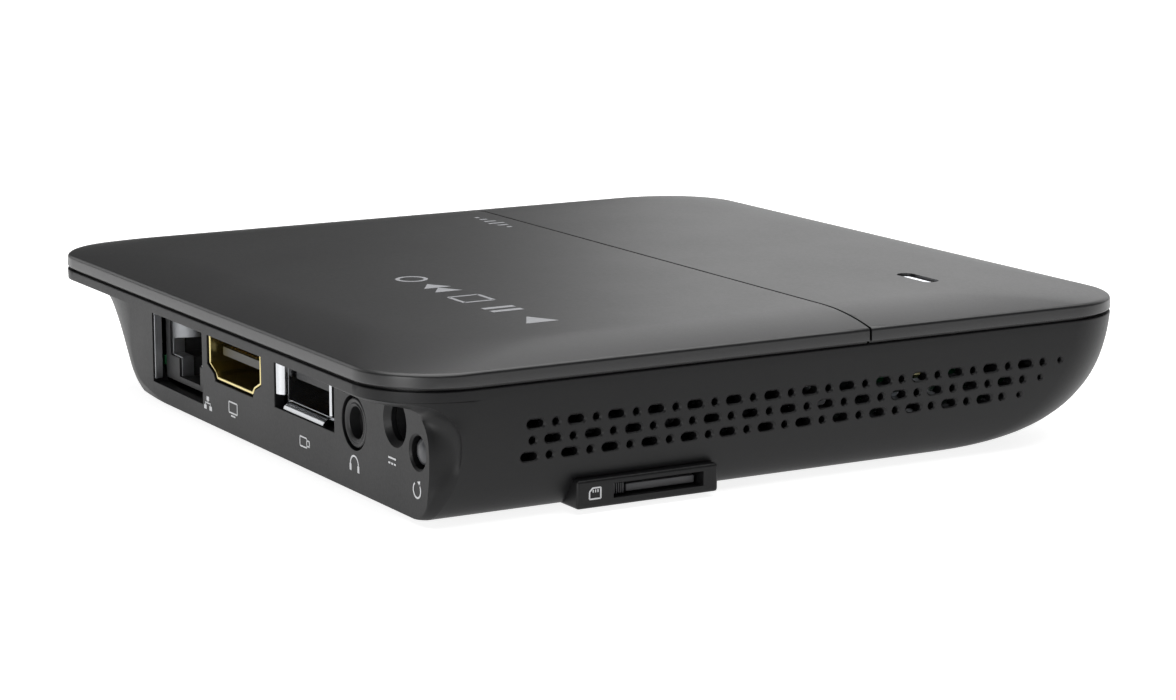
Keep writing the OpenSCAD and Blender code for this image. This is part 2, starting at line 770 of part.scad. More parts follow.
reset_face_y = panel_y - 0.3;
switch_y1 = 39.4;
plunger_l = 1.1; // how far the plunger stands in the switch at rest

module reset_switch() color("#26272a") {
    difference() {
        block(reset_x - 2.05, reset_x + 2.05, switch_y1 - 3.4, switch_y1, board_z, reset_z + 1.9);
        rod_y(reset_x, reset_z, 1.9, switch_y1 - plunger_l - reset_travel - 0.2, switch_y1 + 1);
    }
}

module reset_button() color("#4b4c50") {
    rod_y(reset_x, reset_z, reset_d, switch_y1 + 1.2, reset_face_y);
    rod_y(reset_x, reset_z, reset_d + 1, panel_in_y - 1.2, panel_in_y - 0.15);
}

module reset_plunger() color("#8b8d90") {
    rod_y(reset_x, reset_z, 1.4, switch_y1 - plunger_l, switch_y1 + 1.2);
}

// ---------- card slot ----------

card_roof_z = 2.85;
rail_z = 1.5;
slider_l = 3;
spring_room = 1.5; // the spring's length with the slider fully in
slider_x = card_x1 - 0.6 - spring_room - slider_travel - slider_l;
slider_y = card_y + 6.35;
spring_x0 = slider_x + slider_l;
spring_x1 = card_x1 - 0.6;

// The insulating frame that hangs under the board
module card_frame() color("#1b1c1e") {
    y0 = card_y - card_w / 2 + 0.2;
    y1 = card_y + card_w / 2 - 0.2;
    difference() {
        block(card_x0, card_x1, y0, y1, rail_z, board_low_z);
        block(card_x0 - 1, card_x1 - 0.6, card_y - 5.6, card_y + 5.6, rail_z - 1, card_roof_z);
        block(slider_x - 0.5, card_x1 - 0.6, card_y + 5, slider_y + 0.4, rail_z - 1, card_roof_z);
    }
}

// The sheet-metal cage around the frame
module card_cage() color("#c3c6ca") {
    y0 = card_y - card_w / 2;
    y1 = card_y + card_w / 2;
    t = 0.2;
    block(card_x0 + 1, card_x1, y0, y1, rail_z - t, rail_z);
    block(card_x0 + 1, card_x1, y0, y0 + t - nick, rail_z, board_low_z);
    block(card_x0 + 1, card_x1, y1 - t + nick, y1, rail_z, board_low_z);
}

module card_contacts() color("#d9b45a") {
    for (i = [0:7]) block(card_x0 + 7, card_x0 + 10.5, card_y - 4 + i * 1.1, card_y - 3.6 + i * 1.1,
        card_roof_z - 0.3, card_roof_z);
}

// The sprung slider that a card pushes in
module card_slider() color("#d5d2c6") {
    block(slider_x, slider_x + slider_l, slider_y - 0.55, slider_y + 0.35, rail_z + 0.1,
        card_roof_z - 0.1);
    block(slider_x + slider_l - 0.8, slider_x + slider_l, slider_y - 1.2, slider_y - 0.55,
        rail_z + 0.1, card_roof_z - 0.1);
}

// Points of one ring of the spring's wire
function coil_ring(turns, rings, radius, wire, i) = let (a = 360 * turns * i / rings)
    [for (k = [0:5]) let (b = 60 * k)
        [spring_x0 + wire + (spring_x1 - spring_x0 - 2 * wire) * i / rings + wire * sin(b),
         slider_y - 0.1 + (radius + wire * cos(b)) * cos(a),
         (rail_z + card_roof_z) / 2 + (radius + wire * cos(b)) * sin(a)]];

module card_spring() color("#b5b8bc") {
    rings = 60;
    points = [for (i = [0:rings]) each coil_ring(5, rings, 0.3, 0.07, i)];
    side = [for (i = [0:rings - 1]) for (k = [0:5])
        [i * 6 + k, i * 6 + (k + 1) % 6, (i + 1) * 6 + (k + 1) % 6, (i + 1) * 6 + k]];
    ends = [[5, 4, 3, 2, 1, 0], [for (k = [0:5]) rings * 6 + k]];
    polyhedron(points, concat(side, ends));
}

rear_lid();
front_lid();
lower_shell();
near_bay();
middle_bay();
network_bay();
rubber_feet();
case_screws();
rating_label();
light_pipe();
status_led();
circuit_board();
board_screws();
processor();
thermal_pad();
heat_sink();
memory_chips();
flash_chip();
power_chips();
power_inductors();
capacitors();
crystals();
network_transformer();
wifi_module();
wifi_shield();
antenna_board();
antenna_lead();
network_housing();
network_shield();
network_contacts();
hdmi_shell();
hdmi_tongue();
hdmi_contacts();
usb_shell();
usb_tongue();
usb_contacts();
audio_jack();
audio_springs();
power_jack();
power_pin();
power_spring();
reset_switch();
reset_button();
reset_plunger();
card_frame();
card_cage();
card_contacts();
card_slider();
card_spring();
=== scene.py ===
import json
import math

import bmesh
import bpy
from bpy.props import FloatProperty, FloatVectorProperty, PointerProperty
from mathutils import Matrix, Vector

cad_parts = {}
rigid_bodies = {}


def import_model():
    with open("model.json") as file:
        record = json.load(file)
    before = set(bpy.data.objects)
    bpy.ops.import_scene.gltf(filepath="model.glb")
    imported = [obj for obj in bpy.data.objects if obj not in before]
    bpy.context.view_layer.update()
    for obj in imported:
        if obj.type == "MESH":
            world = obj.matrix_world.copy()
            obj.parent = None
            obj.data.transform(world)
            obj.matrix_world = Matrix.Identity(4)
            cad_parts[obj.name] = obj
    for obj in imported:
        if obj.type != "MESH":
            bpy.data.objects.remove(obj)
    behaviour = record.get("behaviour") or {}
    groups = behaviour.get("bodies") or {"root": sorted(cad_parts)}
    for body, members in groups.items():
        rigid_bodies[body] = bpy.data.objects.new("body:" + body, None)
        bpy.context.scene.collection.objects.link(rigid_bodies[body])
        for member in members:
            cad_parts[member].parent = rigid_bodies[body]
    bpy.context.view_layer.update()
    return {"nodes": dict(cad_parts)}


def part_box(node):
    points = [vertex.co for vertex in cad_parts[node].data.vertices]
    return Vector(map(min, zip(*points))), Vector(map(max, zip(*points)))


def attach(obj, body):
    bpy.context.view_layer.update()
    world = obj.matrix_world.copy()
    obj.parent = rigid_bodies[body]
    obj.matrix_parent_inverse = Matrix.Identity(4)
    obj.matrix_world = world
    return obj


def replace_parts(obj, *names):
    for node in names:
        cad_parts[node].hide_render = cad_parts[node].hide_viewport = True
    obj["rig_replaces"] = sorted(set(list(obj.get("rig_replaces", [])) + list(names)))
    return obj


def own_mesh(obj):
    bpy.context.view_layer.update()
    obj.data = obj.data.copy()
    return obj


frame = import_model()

bl_info = {
    "name": "Streaming Media Player",
    "version": (1, 0, 0),
    "blender": (4, 5, 0),
    "location": "3D View > Sidebar > Player",
    "description": "Builds the visible pieces of a compact streaming media player around its CAD frame",
    "category": "Object",
}

MM = 0.001
CASE = "case"


# ---------- sizes taken from the frame, in millimetres ----------

def box_mm(node):
    """Lowest and highest corner of a CAD node, in millimetres."""
    low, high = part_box(node)
    return low / MM, high / MM


def centre_mm(node):
    low, high = box_mm(node)
    return (low + high) / 2


SHELL_LOW, SHELL_HIGH = box_mm("lower_shell")
LID_HIGH = box_mm("rear_lid")[1]
HALF_W = LID_HIGH.x
HALF_D = LID_HIGH.y
BASE_Z = SHELL_LOW.z
PARTING_Z = SHELL_HIGH.z
TOP_Z = LID_HIGH.z
PANEL_Y = box_mm("middle_bay")[1].y
PANEL_IN_Y = box_mm("middle_bay")[0].y
SEAM_FRONT_Y = box_mm("front_lid")[1].y
SEAM_REAR_Y = SEAM_FRONT_Y + 0.3
CORNER_R = 9.5
LIP_Z = PARTING_Z - 1.15

CARD_PAD = Vector((-49.9, 9.6, BASE_Z)), Vector((-44, 27.4, 3.8))
CARD_MOUTH = Vector((-51, 11.5, 1.45)), Vector((-44.5, 22.9, 3.09))
CASE_SCREWS = ((-42.5, 2), (30, 20), (-38, -34), (28, -34))
FEET = ((-38, 35), (27, 35), (-38, -23), (27, -23))
AUDIO_Z = 8.3
AUDIO_NOSE_Y = 42.6


def linear(hexcode, alpha=1.0):
    """An sRGB hex colour as linear RGBA."""
    channels = [int(hexcode[i:i + 2], 16) / 255 for i in (1, 3, 5)]
    return [c / 12.92 if c <= 0.04045 else ((c + 0.055) / 1.055) ** 2.4 for c in channels] + [alpha]


# ---------- settings a user would change ----------

def length(name, description, default_mm, low_mm, high_mm):
    return FloatProperty(name=name, description=description, default=default_mm * MM,
                         min=low_mm * MM, max=high_mm * MM, unit="LENGTH", precision=5)


def colour(name, description, hexcode):
    return FloatVectorProperty(name=name, description=description, default=linear(hexcode),
                               size=4, min=0, max=1, subtype="COLOR")


class PlayerSizes(bpy.types.PropertyGroup):
    wall: length("Wall", "Thickness of the moulded walls", 1.5, 1.0, 2.0)
    crown_band: length("Crown band", "Width of the rolled band along the lid's edge", 10, 6, 12)
    crown_radius: length("Crown radius", "Arc that rolls the lid's edge down", 40, 30, 60)
    lid_edge: length("Lid edge", "Rounding between the crown and the side wall", 0.45, 0.1, 0.8)
    shadow_gap: length("Shadow gap", "Groove between the lid and the shell", 0.35, 0.1, 0.6)
    vent_length: length("Vent length", "Length of one vent slot", 2.0, 1.4, 2.4)
    vent_height: length("Vent height", "Height of one vent slot", 0.92, 0.6, 1.1)
    vent_dot: length("Vent hole", "Diameter of the holes between the slots", 0.8, 0.5, 0.9)
    vent_flare: length("Vent flare", "Chamfer around each vent", 0.22, 0.05, 0.3)
    print_height: length("Print", "Height of the printed marks", 0.02, 0.01, 0.1)


class PlayerColours(bpy.types.PropertyGroup):
    shell: colour("Shell", "Moulded lower shell", "#0f0f10")
    lid: colour("Lid", "Painted lid", "#131314")
    prints: colour("Print", "Screen-printed marks", "#c9cacc")
    board: colour("Board", "Solder mask on the circuit board", "#14532f")
    floor: colour("Floor", "Studio floor", "#c4c4c4")


# ---------- mesh helpers ----------

def lerp(a, b, t):
    return a + (b - a) * t


def sheet(bm, columns, rows, place):
    """A grid whose vertex in column i and row j is put at place(i, j)."""
    grid = bmesh.ops.create_grid(bm, x_segments=columns, y_segments=rows, size=1.0)
    for v in grid["verts"]:
        i = round((v.co.x + 1) / 2 * columns)
        j = round((v.co.y + 1) / 2 * rows)
        v.co = place(i, j)
    return grid["verts"]


def weld(bm, gap=0.0005):
    bmesh.ops.remove_doubles(bm, verts=bm.verts[:], dist=gap)
    bmesh.ops.recalc_face_normals(bm, faces=bm.faces[:])


def open_edges(bm):
    return [e for e in bm.edges if len(e.link_faces) == 1]


def edges_where(bm, test):
    """Edges between two faces that pass a test."""
    return [e for e in bm.edges if len(e.link_faces) == 2 and test(e)]


def round_edges(bm, edges, width, segments=2):
    bmesh.ops.bevel(bm, geom=edges, offset=width, offset_type="OFFSET", affect="EDGES",
                    segments=segments, profile=0.5, material=-1, clamp_overlap=True)


def modified(bm, kind, **settings):
    """Run one modifier over a bmesh and take the result back."""
    mesh = bpy.data.meshes.new("work")
    bm.to_mesh(mesh)
    work = bpy.data.objects.new("work", mesh)
    bpy.context.scene.collection.objects.link(work)
    modifier = work.modifiers.new(kind, kind)
    for key, value in settings.items():
        setattr(modifier, key, value)
    shaped = work.evaluated_get(bpy.context.evaluated_depsgraph_get()).to_mesh()
    bm.clear()
    bm.from_mesh(shaped)
    bpy.data.objects.remove(work)
    bpy.data.meshes.remove(mesh)
    if not bm.faces:
        raise RuntimeError(f"the {kind} step left no faces")


def combine(bm, tool, operation):
    """Cut tool from bm, or join it on."""
    mesh = bpy.data.meshes.new("tool")
    tool.to_mesh(mesh)
    tool.free()
    cutter = bpy.data.objects.new("tool", mesh)
    bpy.context.scene.collection.objects.link(cutter)
    modified(bm, "BOOLEAN", object=cutter, operation=operation, solver="EXACT")
    bpy.data.objects.remove(cutter)
    bpy.data.meshes.remove(mesh)


def finished(bm, name, finish, body=CASE, stands_for=(), crease=32):
    """Make a piece from a bmesh drawn in millimetres: smooth, with sharp edges kept sharp."""
    bm.transform(Matrix.Scale(MM, 4))
    for face in bm.faces:
        face.smooth = True
    for edge in bm.edges:
        edge.smooth = len(edge.link_faces) == 2 and edge.calc_face_angle(0) < math.radians(crease)
    mesh = bpy.data.meshes.new(name)
    bm.to_mesh(mesh)
    bm.free()
    mesh.validate()
    mesh.materials.append(finish)
    obj = bpy.data.objects.new(name, mesh)
    bpy.context.scene.collection.objects.link(obj)
    even = obj.modifiers.new("even_shading", "WEIGHTED_NORMAL")
    even.keep_sharp = True
    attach(obj, body)
    if stands_for:
        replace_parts(obj, *stands_for)
    return obj


def add_box(bm, low, high, rounding=0.0, segments=2):
    """A block between two corners, with rounded edges."""
    low, high = Vector(low), Vector(high)
    size = high - low
    place = Matrix.Translation((low + high) / 2) @ Matrix.Diagonal((*size, 1))
    verts = bmesh.ops.create_cube(bm, size=1.0, matrix=place)["verts"]
    if rounding:
        edges = list({e for v in verts for e in v.link_edges})
        round_edges(bm, edges, rounding, segments)


def add_rod(bm, start, axis, steps, segments=32):
    """A turned bar: steps are (distance along the axis, radius) from one capped end to the other."""
    turn = Vector((0, 0, 1)).rotation_difference(Vector(axis)).to_matrix().to_4x4()
    place = Matrix.Translation(start) @ turn
    profile = [(steps[0][0], 0.0), *steps, (steps[-1][0], 0.0)]
    verts = [bm.verts.new(place @ Vector((r, 0, z))) for z, r in profile]
    edges = [bm.edges.new(pair) for pair in zip(verts, verts[1:])]
    bmesh.ops.spin(bm, geom=verts + edges, cent=start, axis=axis, angle=math.tau,
                   steps=segments, use_merge=True)
    bmesh.ops.remove_doubles(bm, verts=bm.verts[:], dist=0.0002)


def add_prism(bm, outline, low, high, place=Matrix.Identity(4)):
    """A flat outline in X and Y given a thickness from low to high, then placed."""
    verts = [bm.verts.new((x, y, low)) for x, y in outline]
    made = bmesh.ops.extrude_face_region(bm, geom=[bm.faces.new(verts)])["geom"]
    top = [g for g in made if isinstance(g, bmesh.types.BMVert)]
    bmesh.ops.translate(bm, verts=top, vec=(0, 0, high - low))
    bmesh.ops.transform(bm, matrix=place, verts=verts + top)


def put(bm, drawing, place=Matrix.Identity(4)):
    """Add a mesh drawn on its own to another, placed."""
    weld(drawing, 0.0001)
    drawing.transform(place)
    mesh = bpy.data.meshes.new("drawing")
    drawing.to_mesh(mesh)
    drawing.free()
    bm.from_mesh(mesh)
    bpy.data.meshes.remove(mesh)


# ---------- materials ----------

def add_node(tree, kind, inputs=None, **settings):
    """Add a node with its settings; inputs holds values or the sockets to link from."""
    made = tree.nodes.new(kind)
    for key, value in settings.items():
        setattr(made, key, value)
    for key, value in (inputs or {}).items():
        if isinstance(value, bpy.types.NodeSocket):
            tree.links.new(value, made.inputs[key])
        else:
            made.inputs[key].default_value = value
    return made


def blank(name):
    material = bpy.data.materials.new(name)
    material.use_nodes = True
    tree = material.node_tree
    tree.nodes.clear()
    shader = add_node(tree, "ShaderNodeBsdfPrincipled")
    add_node(tree, "ShaderNodeOutputMaterial", {"Surface": shader.outputs["BSDF"]})
    place = add_node(tree, "ShaderNodeTexCoord")
    return material, tree, shader, place.outputs["Object"]


CLOUD_MM = 14       # size of the broad, faint unevenness under every grain


def grained(name, base, rough, grain_mm, depth_mm, tint=0.12, rough_swing=0.05,
            stretch=(1, 1, 1), **sockets):
    """A surface with a fine random grain: colour, roughness and height all follow it.
    grain_mm is the size of one grain, depth_mm its height."""
    material, tree, shader, place = blank(name)
    squeezed = add_node(tree, "ShaderNodeMapping", {"Vector": place, "Scale": stretch})

    def noise(size_mm, detail, roughness):
        return add_node(tree, "ShaderNodeTexNoise", {
            "Vector": squeezed.outputs["Vector"], "Scale": 1 / (size_mm * MM),
            "Detail": detail, "Roughness": roughness})

    grain, cloud = noise(grain_mm, 2.0, 0.6), noise(CLOUD_MM, 3.0, 0.55)
    mixed = add_node(tree, "ShaderNodeMath", {
        0: grain.outputs["Fac"], 1: cloud.outputs["Fac"]}, operation="MULTIPLY")
    dark = [c * (1 - tint) for c in base[:3]] + [1]
    light = [min(1, c * (1 + tint)) for c in base[:3]] + [1]
    shade = add_node(tree, "ShaderNodeMix", {0: mixed.outputs[0]}, data_type="RGBA")
    shade.inputs[6].default_value = dark
    shade.inputs[7].default_value = light
    gloss = add_node(tree, "ShaderNodeMapRange", {
        "Value": mixed.outputs[0], "From Min": 0.05, "From Max": 0.5,
        "To Min": rough - rough_swing, "To Max": rough + rough_swing})
    bump = add_node(tree, "ShaderNodeBump", {
        "Height": grain.outputs["Fac"], "Distance": depth_mm * MM, "Strength": 1.0})
    tree.links.new(shade.outputs[2], shader.inputs["Base Color"])
    tree.links.new(gloss.outputs[0], shader.inputs["Roughness"])
    tree.links.new(bump.outputs[0], shader.inputs["Normal"])
    for key, value in sockets.items():
        shader.inputs[key.replace("_", " ")].default_value = value
    return material


FINISHES = {}


def finish(name):
    return FINISHES[name]


def make_finishes(colours):
    """Every finish on the player, each from the real material and how it was made; the reset cap, the
    video tongue, the card mouth and the case screws also carry painted light or shade in their colour.
    """
    # ABS moulded against spark-eroded steel: an even satin black with a sand-like grain,
    # drawn at 0.3 mm because the real 0.05 mm grit is too fine to show
    FINISHES["shell"] = grained("spark_eroded_abs", colours.shell, 0.45, 0.3, 0.006, tint=0.10,
                                Specular_IOR_Level=0.26)
    # ABS sprayed with a satin soft-touch paint: smoother than the shell, with a faint orange peel
    FINISHES["lid"] = grained("satin_painted_abs", colours.lid, 0.39, 0.45, 0.0035, tint=0.08,
                              rough_swing=0.03, IOR=1.5, Coat_Weight=0.15, Coat_Roughness=0.3)
    # moulded ABS cap of the reset button: smoother than the shell, and painted a paler grey that stands
    # in for the light its dome catches (painted highlight)
    FINISHES["button"] = grained("abs_cap_painted_highlight", linear("#37383b"), 0.38, 0.35, 0.004, IOR=1.5)
    # screen-printed ink: matt, slightly uneven where the mesh left it
    FINISHES["ink"] = grained("screen_printed_ink", colours.prints, 0.62, 0.18, 0.004, tint=0.10)
    FINISHES["ink_lid"] = grained("screen_printed_silver_ink", linear("#9b9c9f"), 0.5, 0.18, 0.004,
                                  tint=0.14)
    # nickel-plated steel, drawn and stamped: bright with fine drawing lines along the socket
    FINISHES["nickel"] = grained("nickel_plated_steel", linear("#c9cbce"), 0.2, 0.25, 0.002,
                                 stretch=(1, 0.15, 1), Metallic=1.0)
    # thin gold over nickel on the video socket: pale, a little worn
    FINISHES["gold"] = grained("flash_gold_plated_steel", linear("#d9c98a"), 0.24, 0.25, 0.002,
                               stretch=(1, 0.15, 1), Metallic=1.0)
    # contact springs: warmer gold, thicker where the plug rubs
    FINISHES["contact"] = grained("gold_plated_contact", linear("#d8ac4e"), 0.25, 0.2, 0.001,
                                  Metallic=1.0)
    # glass-filled PBT: dense matt black insulator
    FINISHES["insulator"] = grained("moulded_black_pbt", linear("#121213"), 0.5, 0.25, 0.004)
    # the video socket's tongue: moulded black PBT painted dark olive, standing for the gold shell's
    # reflection seen in shade (painted reflection and shade)
    FINISHES["painted_gold_reflection"] = grained("pbt_painted_gold_reflection", linear("#221f10"), 0.45, 0.25, 0.004)
    # black nylon card mouth, painted an even mid-grey that stands in for light falling on the inside of
    # the slot (painted light)
    FINISHES["mouth"] = grained("nylon_painted_lit_grey", linear("#4a4a4c"), 0.42, 0.3, 0.005,
                                tint=0.15)
    # moulded silicone foot: dull, with a fine open grain
    FINISHES["rubber"] = grained("moulded_silicone_rubber", linear("#161616"), 0.82, 0.4, 0.02,
                                 tint=0.2)
    # zinc-plated steel screw: grey with turning marks
    FINISHES["zinc"] = grained("zinc_plated_steel", linear("#8f9296"), 0.34, 0.2, 0.004,
                               Metallic=1.0)
    # black-oxide steel: dark, faintly blue, with turning marks; put on the case screws so that through
    # the vents they read as the shade inside the case (painted shade)
    FINISHES["painted_shade_steel"] = grained("black_oxide_steel_painted_shade", linear("#2a2b2e"), 0.42, 0.2, 0.004,
                                      Metallic=1.0)
    # matt polyester label film with nothing printed on it
    FINISHES["film"] = grained("matt_polyester_film", linear("#b9bab8"), 0.55, 0.5, 0.002,
                               tint=0.05)
    # frosted polycarbonate light guide, lit from below
    FINISHES["guide"] = grained("frosted_polycarbonate", linear("#f2f5fa"), 0.3, 0.3, 0.004, tint=0.03,
                                IOR=1.585, Emission_Color=linear("#f6f9ff"), Emission_Strength=0.55)
    # the lamp's own window of yellow phosphor in clear resin
    FINISHES["lamp"] = grained("yellow_phosphor_resin", linear("#e9dfa8"), 0.35, 0.3, 0.003)
    # epoxy solder mask: glossy green, mottled by the copper under it
    FINISHES["board"] = grained("green_solder_mask", colours.board, 0.3, 0.6, 0.004, tint=0.3,
                                Coat_Weight=0.3)
    # transfer-moulded epoxy chip bodies: charcoal, slightly sandy
    FINISHES["chip"] = grained("transfer_moulded_epoxy", linear("#1b1c1e"), 0.6, 0.25, 0.006,
                               tint=0.2)
    # pressed and fired ferrite: grey-black and dry
    FINISHES["ferrite"] = grained("pressed_ferrite", linear("#3a3b3e"), 0.55, 0.3, 0.01, tint=0.2)
    # soft silicone pad filled with ceramic: blue-grey, without shine
    FINISHES["silicone"] = grained("silicone_thermal_pad", linear("#8fa5b8"), 0.8, 0.5, 0.02)
    # extruded aluminium, clear anodised: pale grey with lines along the fins
    FINISHES["aluminium"] = grained("anodised_aluminium", linear("#b9bcbf"), 0.36, 0.2, 0.004,
                                    stretch=(1, 0.08, 1), Metallic=1.0)
    # tinned steel can: soft bright grey, lightly mottled
    FINISHES["tin"] = grained("tinned_steel", linear("#b4b6b9"), 0.38, 0.8, 0.004, tint=0.1,
                              Metallic=1.0)
    # extruded PVC jacket of the thin aerial lead
    FINISHES["jacket"] = grained("extruded_pvc_jacket", linear("#1c1c1c"), 0.5, 0.3, 0.004)
    # uncoloured nylon: warm off-white
    FINISHES["nylon"] = grained("natural_nylon", linear("#cfc9b8"), 0.45, 0.3, 0.004)
    # white studio laminate, bright enough from below to leave hardly any shadow
    FINISHES["floor"] = grained("matt_white_laminate", colours.floor, 0.6, 1.5, 0.002, tint=0.01,
                                Emission_Color=(1, 1, 1, 1), Emission_Strength=0.85)


# ---------- operators: the stage and the finishes ----------

def look(obj, target):
    obj.rotation_mode = "QUATERNION"
    obj.rotation_quaternion = (Vector(target) - obj.location).to_track_quat("-Z", "Y")


class PLAYER_OT_stage(bpy.types.Operator):
    """Make the camera, the soft studio lights and the pale floor"""
    bl_idname = "player.stage"
    bl_label = "Studio stage"

    azimuth = math.radians(240.069)
    elevation = math.radians(11.051)

    def execute(self, context):
        self.camera(context)
        self.lights(context)
        self.floor(context)
        context.scene.view_settings.view_transform = "Standard"
        return {"FINISHED"}

    def camera(self, context):
        az, el = self.azimuth, self.elevation
        back = Vector((math.sin(az) * math.cos(el), -math.cos(az) * math.cos(el), math.sin(el)))
        data = bpy.data.cameras.new("camera")
        data.sensor_width = 36.0
        data.lens = 98.59
        data.clip_start, data.clip_end = 0.01, 20.0
        camera = bpy.data.objects.new("camera", data)
        camera.location = (-0.34089, 0.19362, 0.08358)
        camera.rotation_mode = "QUATERNION"
        camera.rotation_quaternion = (-back).to_track_quat("-Z", "Y")
        context.scene.collection.objects.link(camera)
        context.scene.camera = camera

    def lights(self, context):
        world = bpy.data.worlds.new("studio")
        world.use_nodes = True
        paper = world.node_tree.nodes["Background"]
        paper.inputs["Color"].default_value = (1, 1, 1, 1)
        paper.inputs["Strength"].default_value = 0.08
        context.scene.world = world
        soft_boxes = [
            # name, place, width, height, power
            ("overhead_soft_box", (0.05, -0.10, 0.90), 1.2, 1.2, 13.0),
            ("front_soft_box", (0.63, -0.985, 0.443), 1.25, 0.68, 2.9),
            ("rear_soft_box", (-0.42, 0.82, 0.18), 0.45, 0.25, 3.0),
            ("far_side_reflector", (0.85, 0.42, 0.38), 0.7, 0.5, 1.3),
        ]
        for name, place, width, height, power in soft_boxes:
            data = bpy.data.lights.new(name, "AREA")
            data.shape = "RECTANGLE"
            data.size, data.size_y = width, height
            data.energy = power
            lamp = bpy.data.objects.new(name, data)
            lamp.location = place
            lamp.visible_camera = False
            look(lamp, (0, 0, 0.01))
            context.scene.collection.objects.link(lamp)

    def floor(self, context):
        bm = bmesh.new()
        bmesh.ops.create_circle(bm, cap_ends=True, radius=3000, segments=96)
        bm.transform(Matrix.Scale(MM, 4))
        mesh = bpy.data.meshes.new("floor")
        bm.to_mesh(mesh)
        bm.free()
        mesh.materials.append(finish("floor"))
        floor = bpy.data.objects.new("floor", mesh)
        context.scene.collection.objects.link(floor)


class PLAYER_OT_finishes(bpy.types.Operator):
    """Make every surface finish from the player's colours"""
    bl_idname = "player.finishes"
    bl_label = "Finishes"

    def execute(self, context):
        make_finishes(context.scene.player_colours)
        return {"FINISHED"}


# ---------- the lid ----------

CORNER_STEPS = 16
SIDE_STEPS = 12


def lid_outline(i, inset):
    """Point i of the lid's outline in plan, drawn inwards; its corners open up slowly."""
    per_side = SIDE_STEPS + CORNER_STEPS
    side, k = divmod(i % (4 * per_side), per_side)
    w, d = HALF_W - inset, HALF_D - inset
    r = CORNER_R + 0.6 * min(inset, 10)
    start = math.radians(90 * side)
    sx, sy = ((1, -1), (1, 1), (-1, 1), (-1, -1))[side]
    cx, cy = sx * (w - r), sy * (d - r)
    if k < CORNER_STEPS:
        a = start - math.radians(90 * (1 - k / CORNER_STEPS))
        return cx + r * math.cos(a), cy + r * math.sin(a)
    nx, ny = ((1, 1), (-1, 1), (-1, -1), (1, -1))[side]
    share = (k - CORNER_STEPS) / SIDE_STEPS
    return (lerp(cx, nx * (w - r), share) + r * math.cos(start),
            lerp(cy, ny * (d - r), share) + r * math.sin(start))


def crown_z(inset, sizes):
    """Height of the crowned lid at a distance in from its edge."""
    radius, band = sizes.crown_radius / MM, sizes.crown_band / MM
    run = max(0.0, band - inset)
    return TOP_Z - radius + math.sqrt(radius * radius - run * run)


class PLAYER_OT_lids(bpy.types.Operator):
    """Make the rear and front halves of the lid, crowned and rounded, with the seam between them"""
    bl_idname = "player.lids"
    bl_label = "Lids"

    def execute(self, context):
        sizes = context.scene.player_sizes
        rear = self.crowned_plate(sizes)
        self.part_at(rear, SEAM_REAR_Y, -1)
        finished(rear, "lid_rear", finish("lid"), stands_for=["rear_lid"])
        front = self.crowned_plate(sizes)
        self.part_at(front, SEAM_FRONT_Y, 1)
        self.light_opening(front)
        finished(front, "lid_front", finish("lid"), stands_for=["front_lid"])
        return {"FINISHED"}

    def crowned_plate(self, sizes):
        edge, wall, band = sizes.lid_edge / MM, sizes.wall / MM, sizes.crown_band / MM
        low = PARTING_Z + sizes.shadow_gap / MM
        shoulder = crown_z(edge, sizes)
        profile = [(14, TOP_Z - wall), (5, TOP_Z - wall - 0.35), (wall, TOP_Z - wall - 1.1),
                   (wall, PARTING_Z), (0.55, PARTING_Z), (0.55, low), (0.15, low), (0.04, low + 0.04),
                   (0, low + 0.15), (0.02, lerp(low, shoulder - edge, 0.6)), (0.04, shoulder - edge)]
        for k in range(1, 7):
            a = math.radians(78 * k / 6)
            profile.append((0.04 + edge * (1 - math.cos(a)), shoulder - edge + edge * math.sin(a)))
        start = edge + 0.08
        for k in range(17):
            e = start + (band - start) * (k / 16) ** 1.3
            profile.append((e, crown_z(e, sizes)))
        profile += [(band + 3, TOP_Z), (30, TOP_Z)]
        around = 4 * (SIDE_STEPS + CORNER_STEPS)

        def place(i, j):
            inset, z = profile[j]
            return Vector((*lid_outline(i, inset), z))

        bm = bmesh.new()
        sheet(bm, around, len(profile) - 1, place)
        weld(bm)
        bmesh.ops.holes_fill(bm, edges=open_edges(bm), sides=around)
        weld(bm)
        return bm

    def part_at(self, bm, y, away):
        """Keep the half on one side of the seam, close it and round its upper edge."""
        bmesh.ops.bisect_plane(bm, geom=bm.verts[:] + bm.edges[:] + bm.faces[:],
                               plane_co=(0, y, 0), plane_no=(0, away, 0), clear_outer=True)
        bmesh.ops.holes_fill(bm, edges=open_edges(bm), sides=0)
        weld(bm)

        def outer(edge):
            on_seam = all(abs(v.co.y - y) < 0.002 for v in edge.verts)
            skin = [f for f in edge.link_faces if abs(f.normal.y) < 0.9]
            return on_seam and any(f.normal.z > 0.02 for f in skin)

        round_edges(bm, edges_where(bm, outer), 0.12)

    def light_opening(self, bm):
        centre = centre_mm("status_led")
        recess = bmesh.new()
        add_slot(recess, (centre.x, centre.y), 7.0, 2.2, TOP_Z - 0.35, TOP_Z + 1)
        combine(bm, recess, "DIFFERENCE")
        opening = bmesh.new()
        add_slot(opening, (centre.x, centre.y), 6.06, 1.46, TOP_Z - 4, TOP_Z + 1)
        combine(bm, opening, "DIFFERENCE")


# ---------- the shell ----------

NEAR_WALL = (5, 2.6)    # how far the vented side leans in at its foot, and how late it turns
FAR_WALL = (18, 1.35)
FRONT_WALL = (18, 2.5)
REAR_ARC = math.pi / 2 * CORNER_R
PANEL_LEFT, PANEL_TOP = 34.4, LIP_Z - 0.05

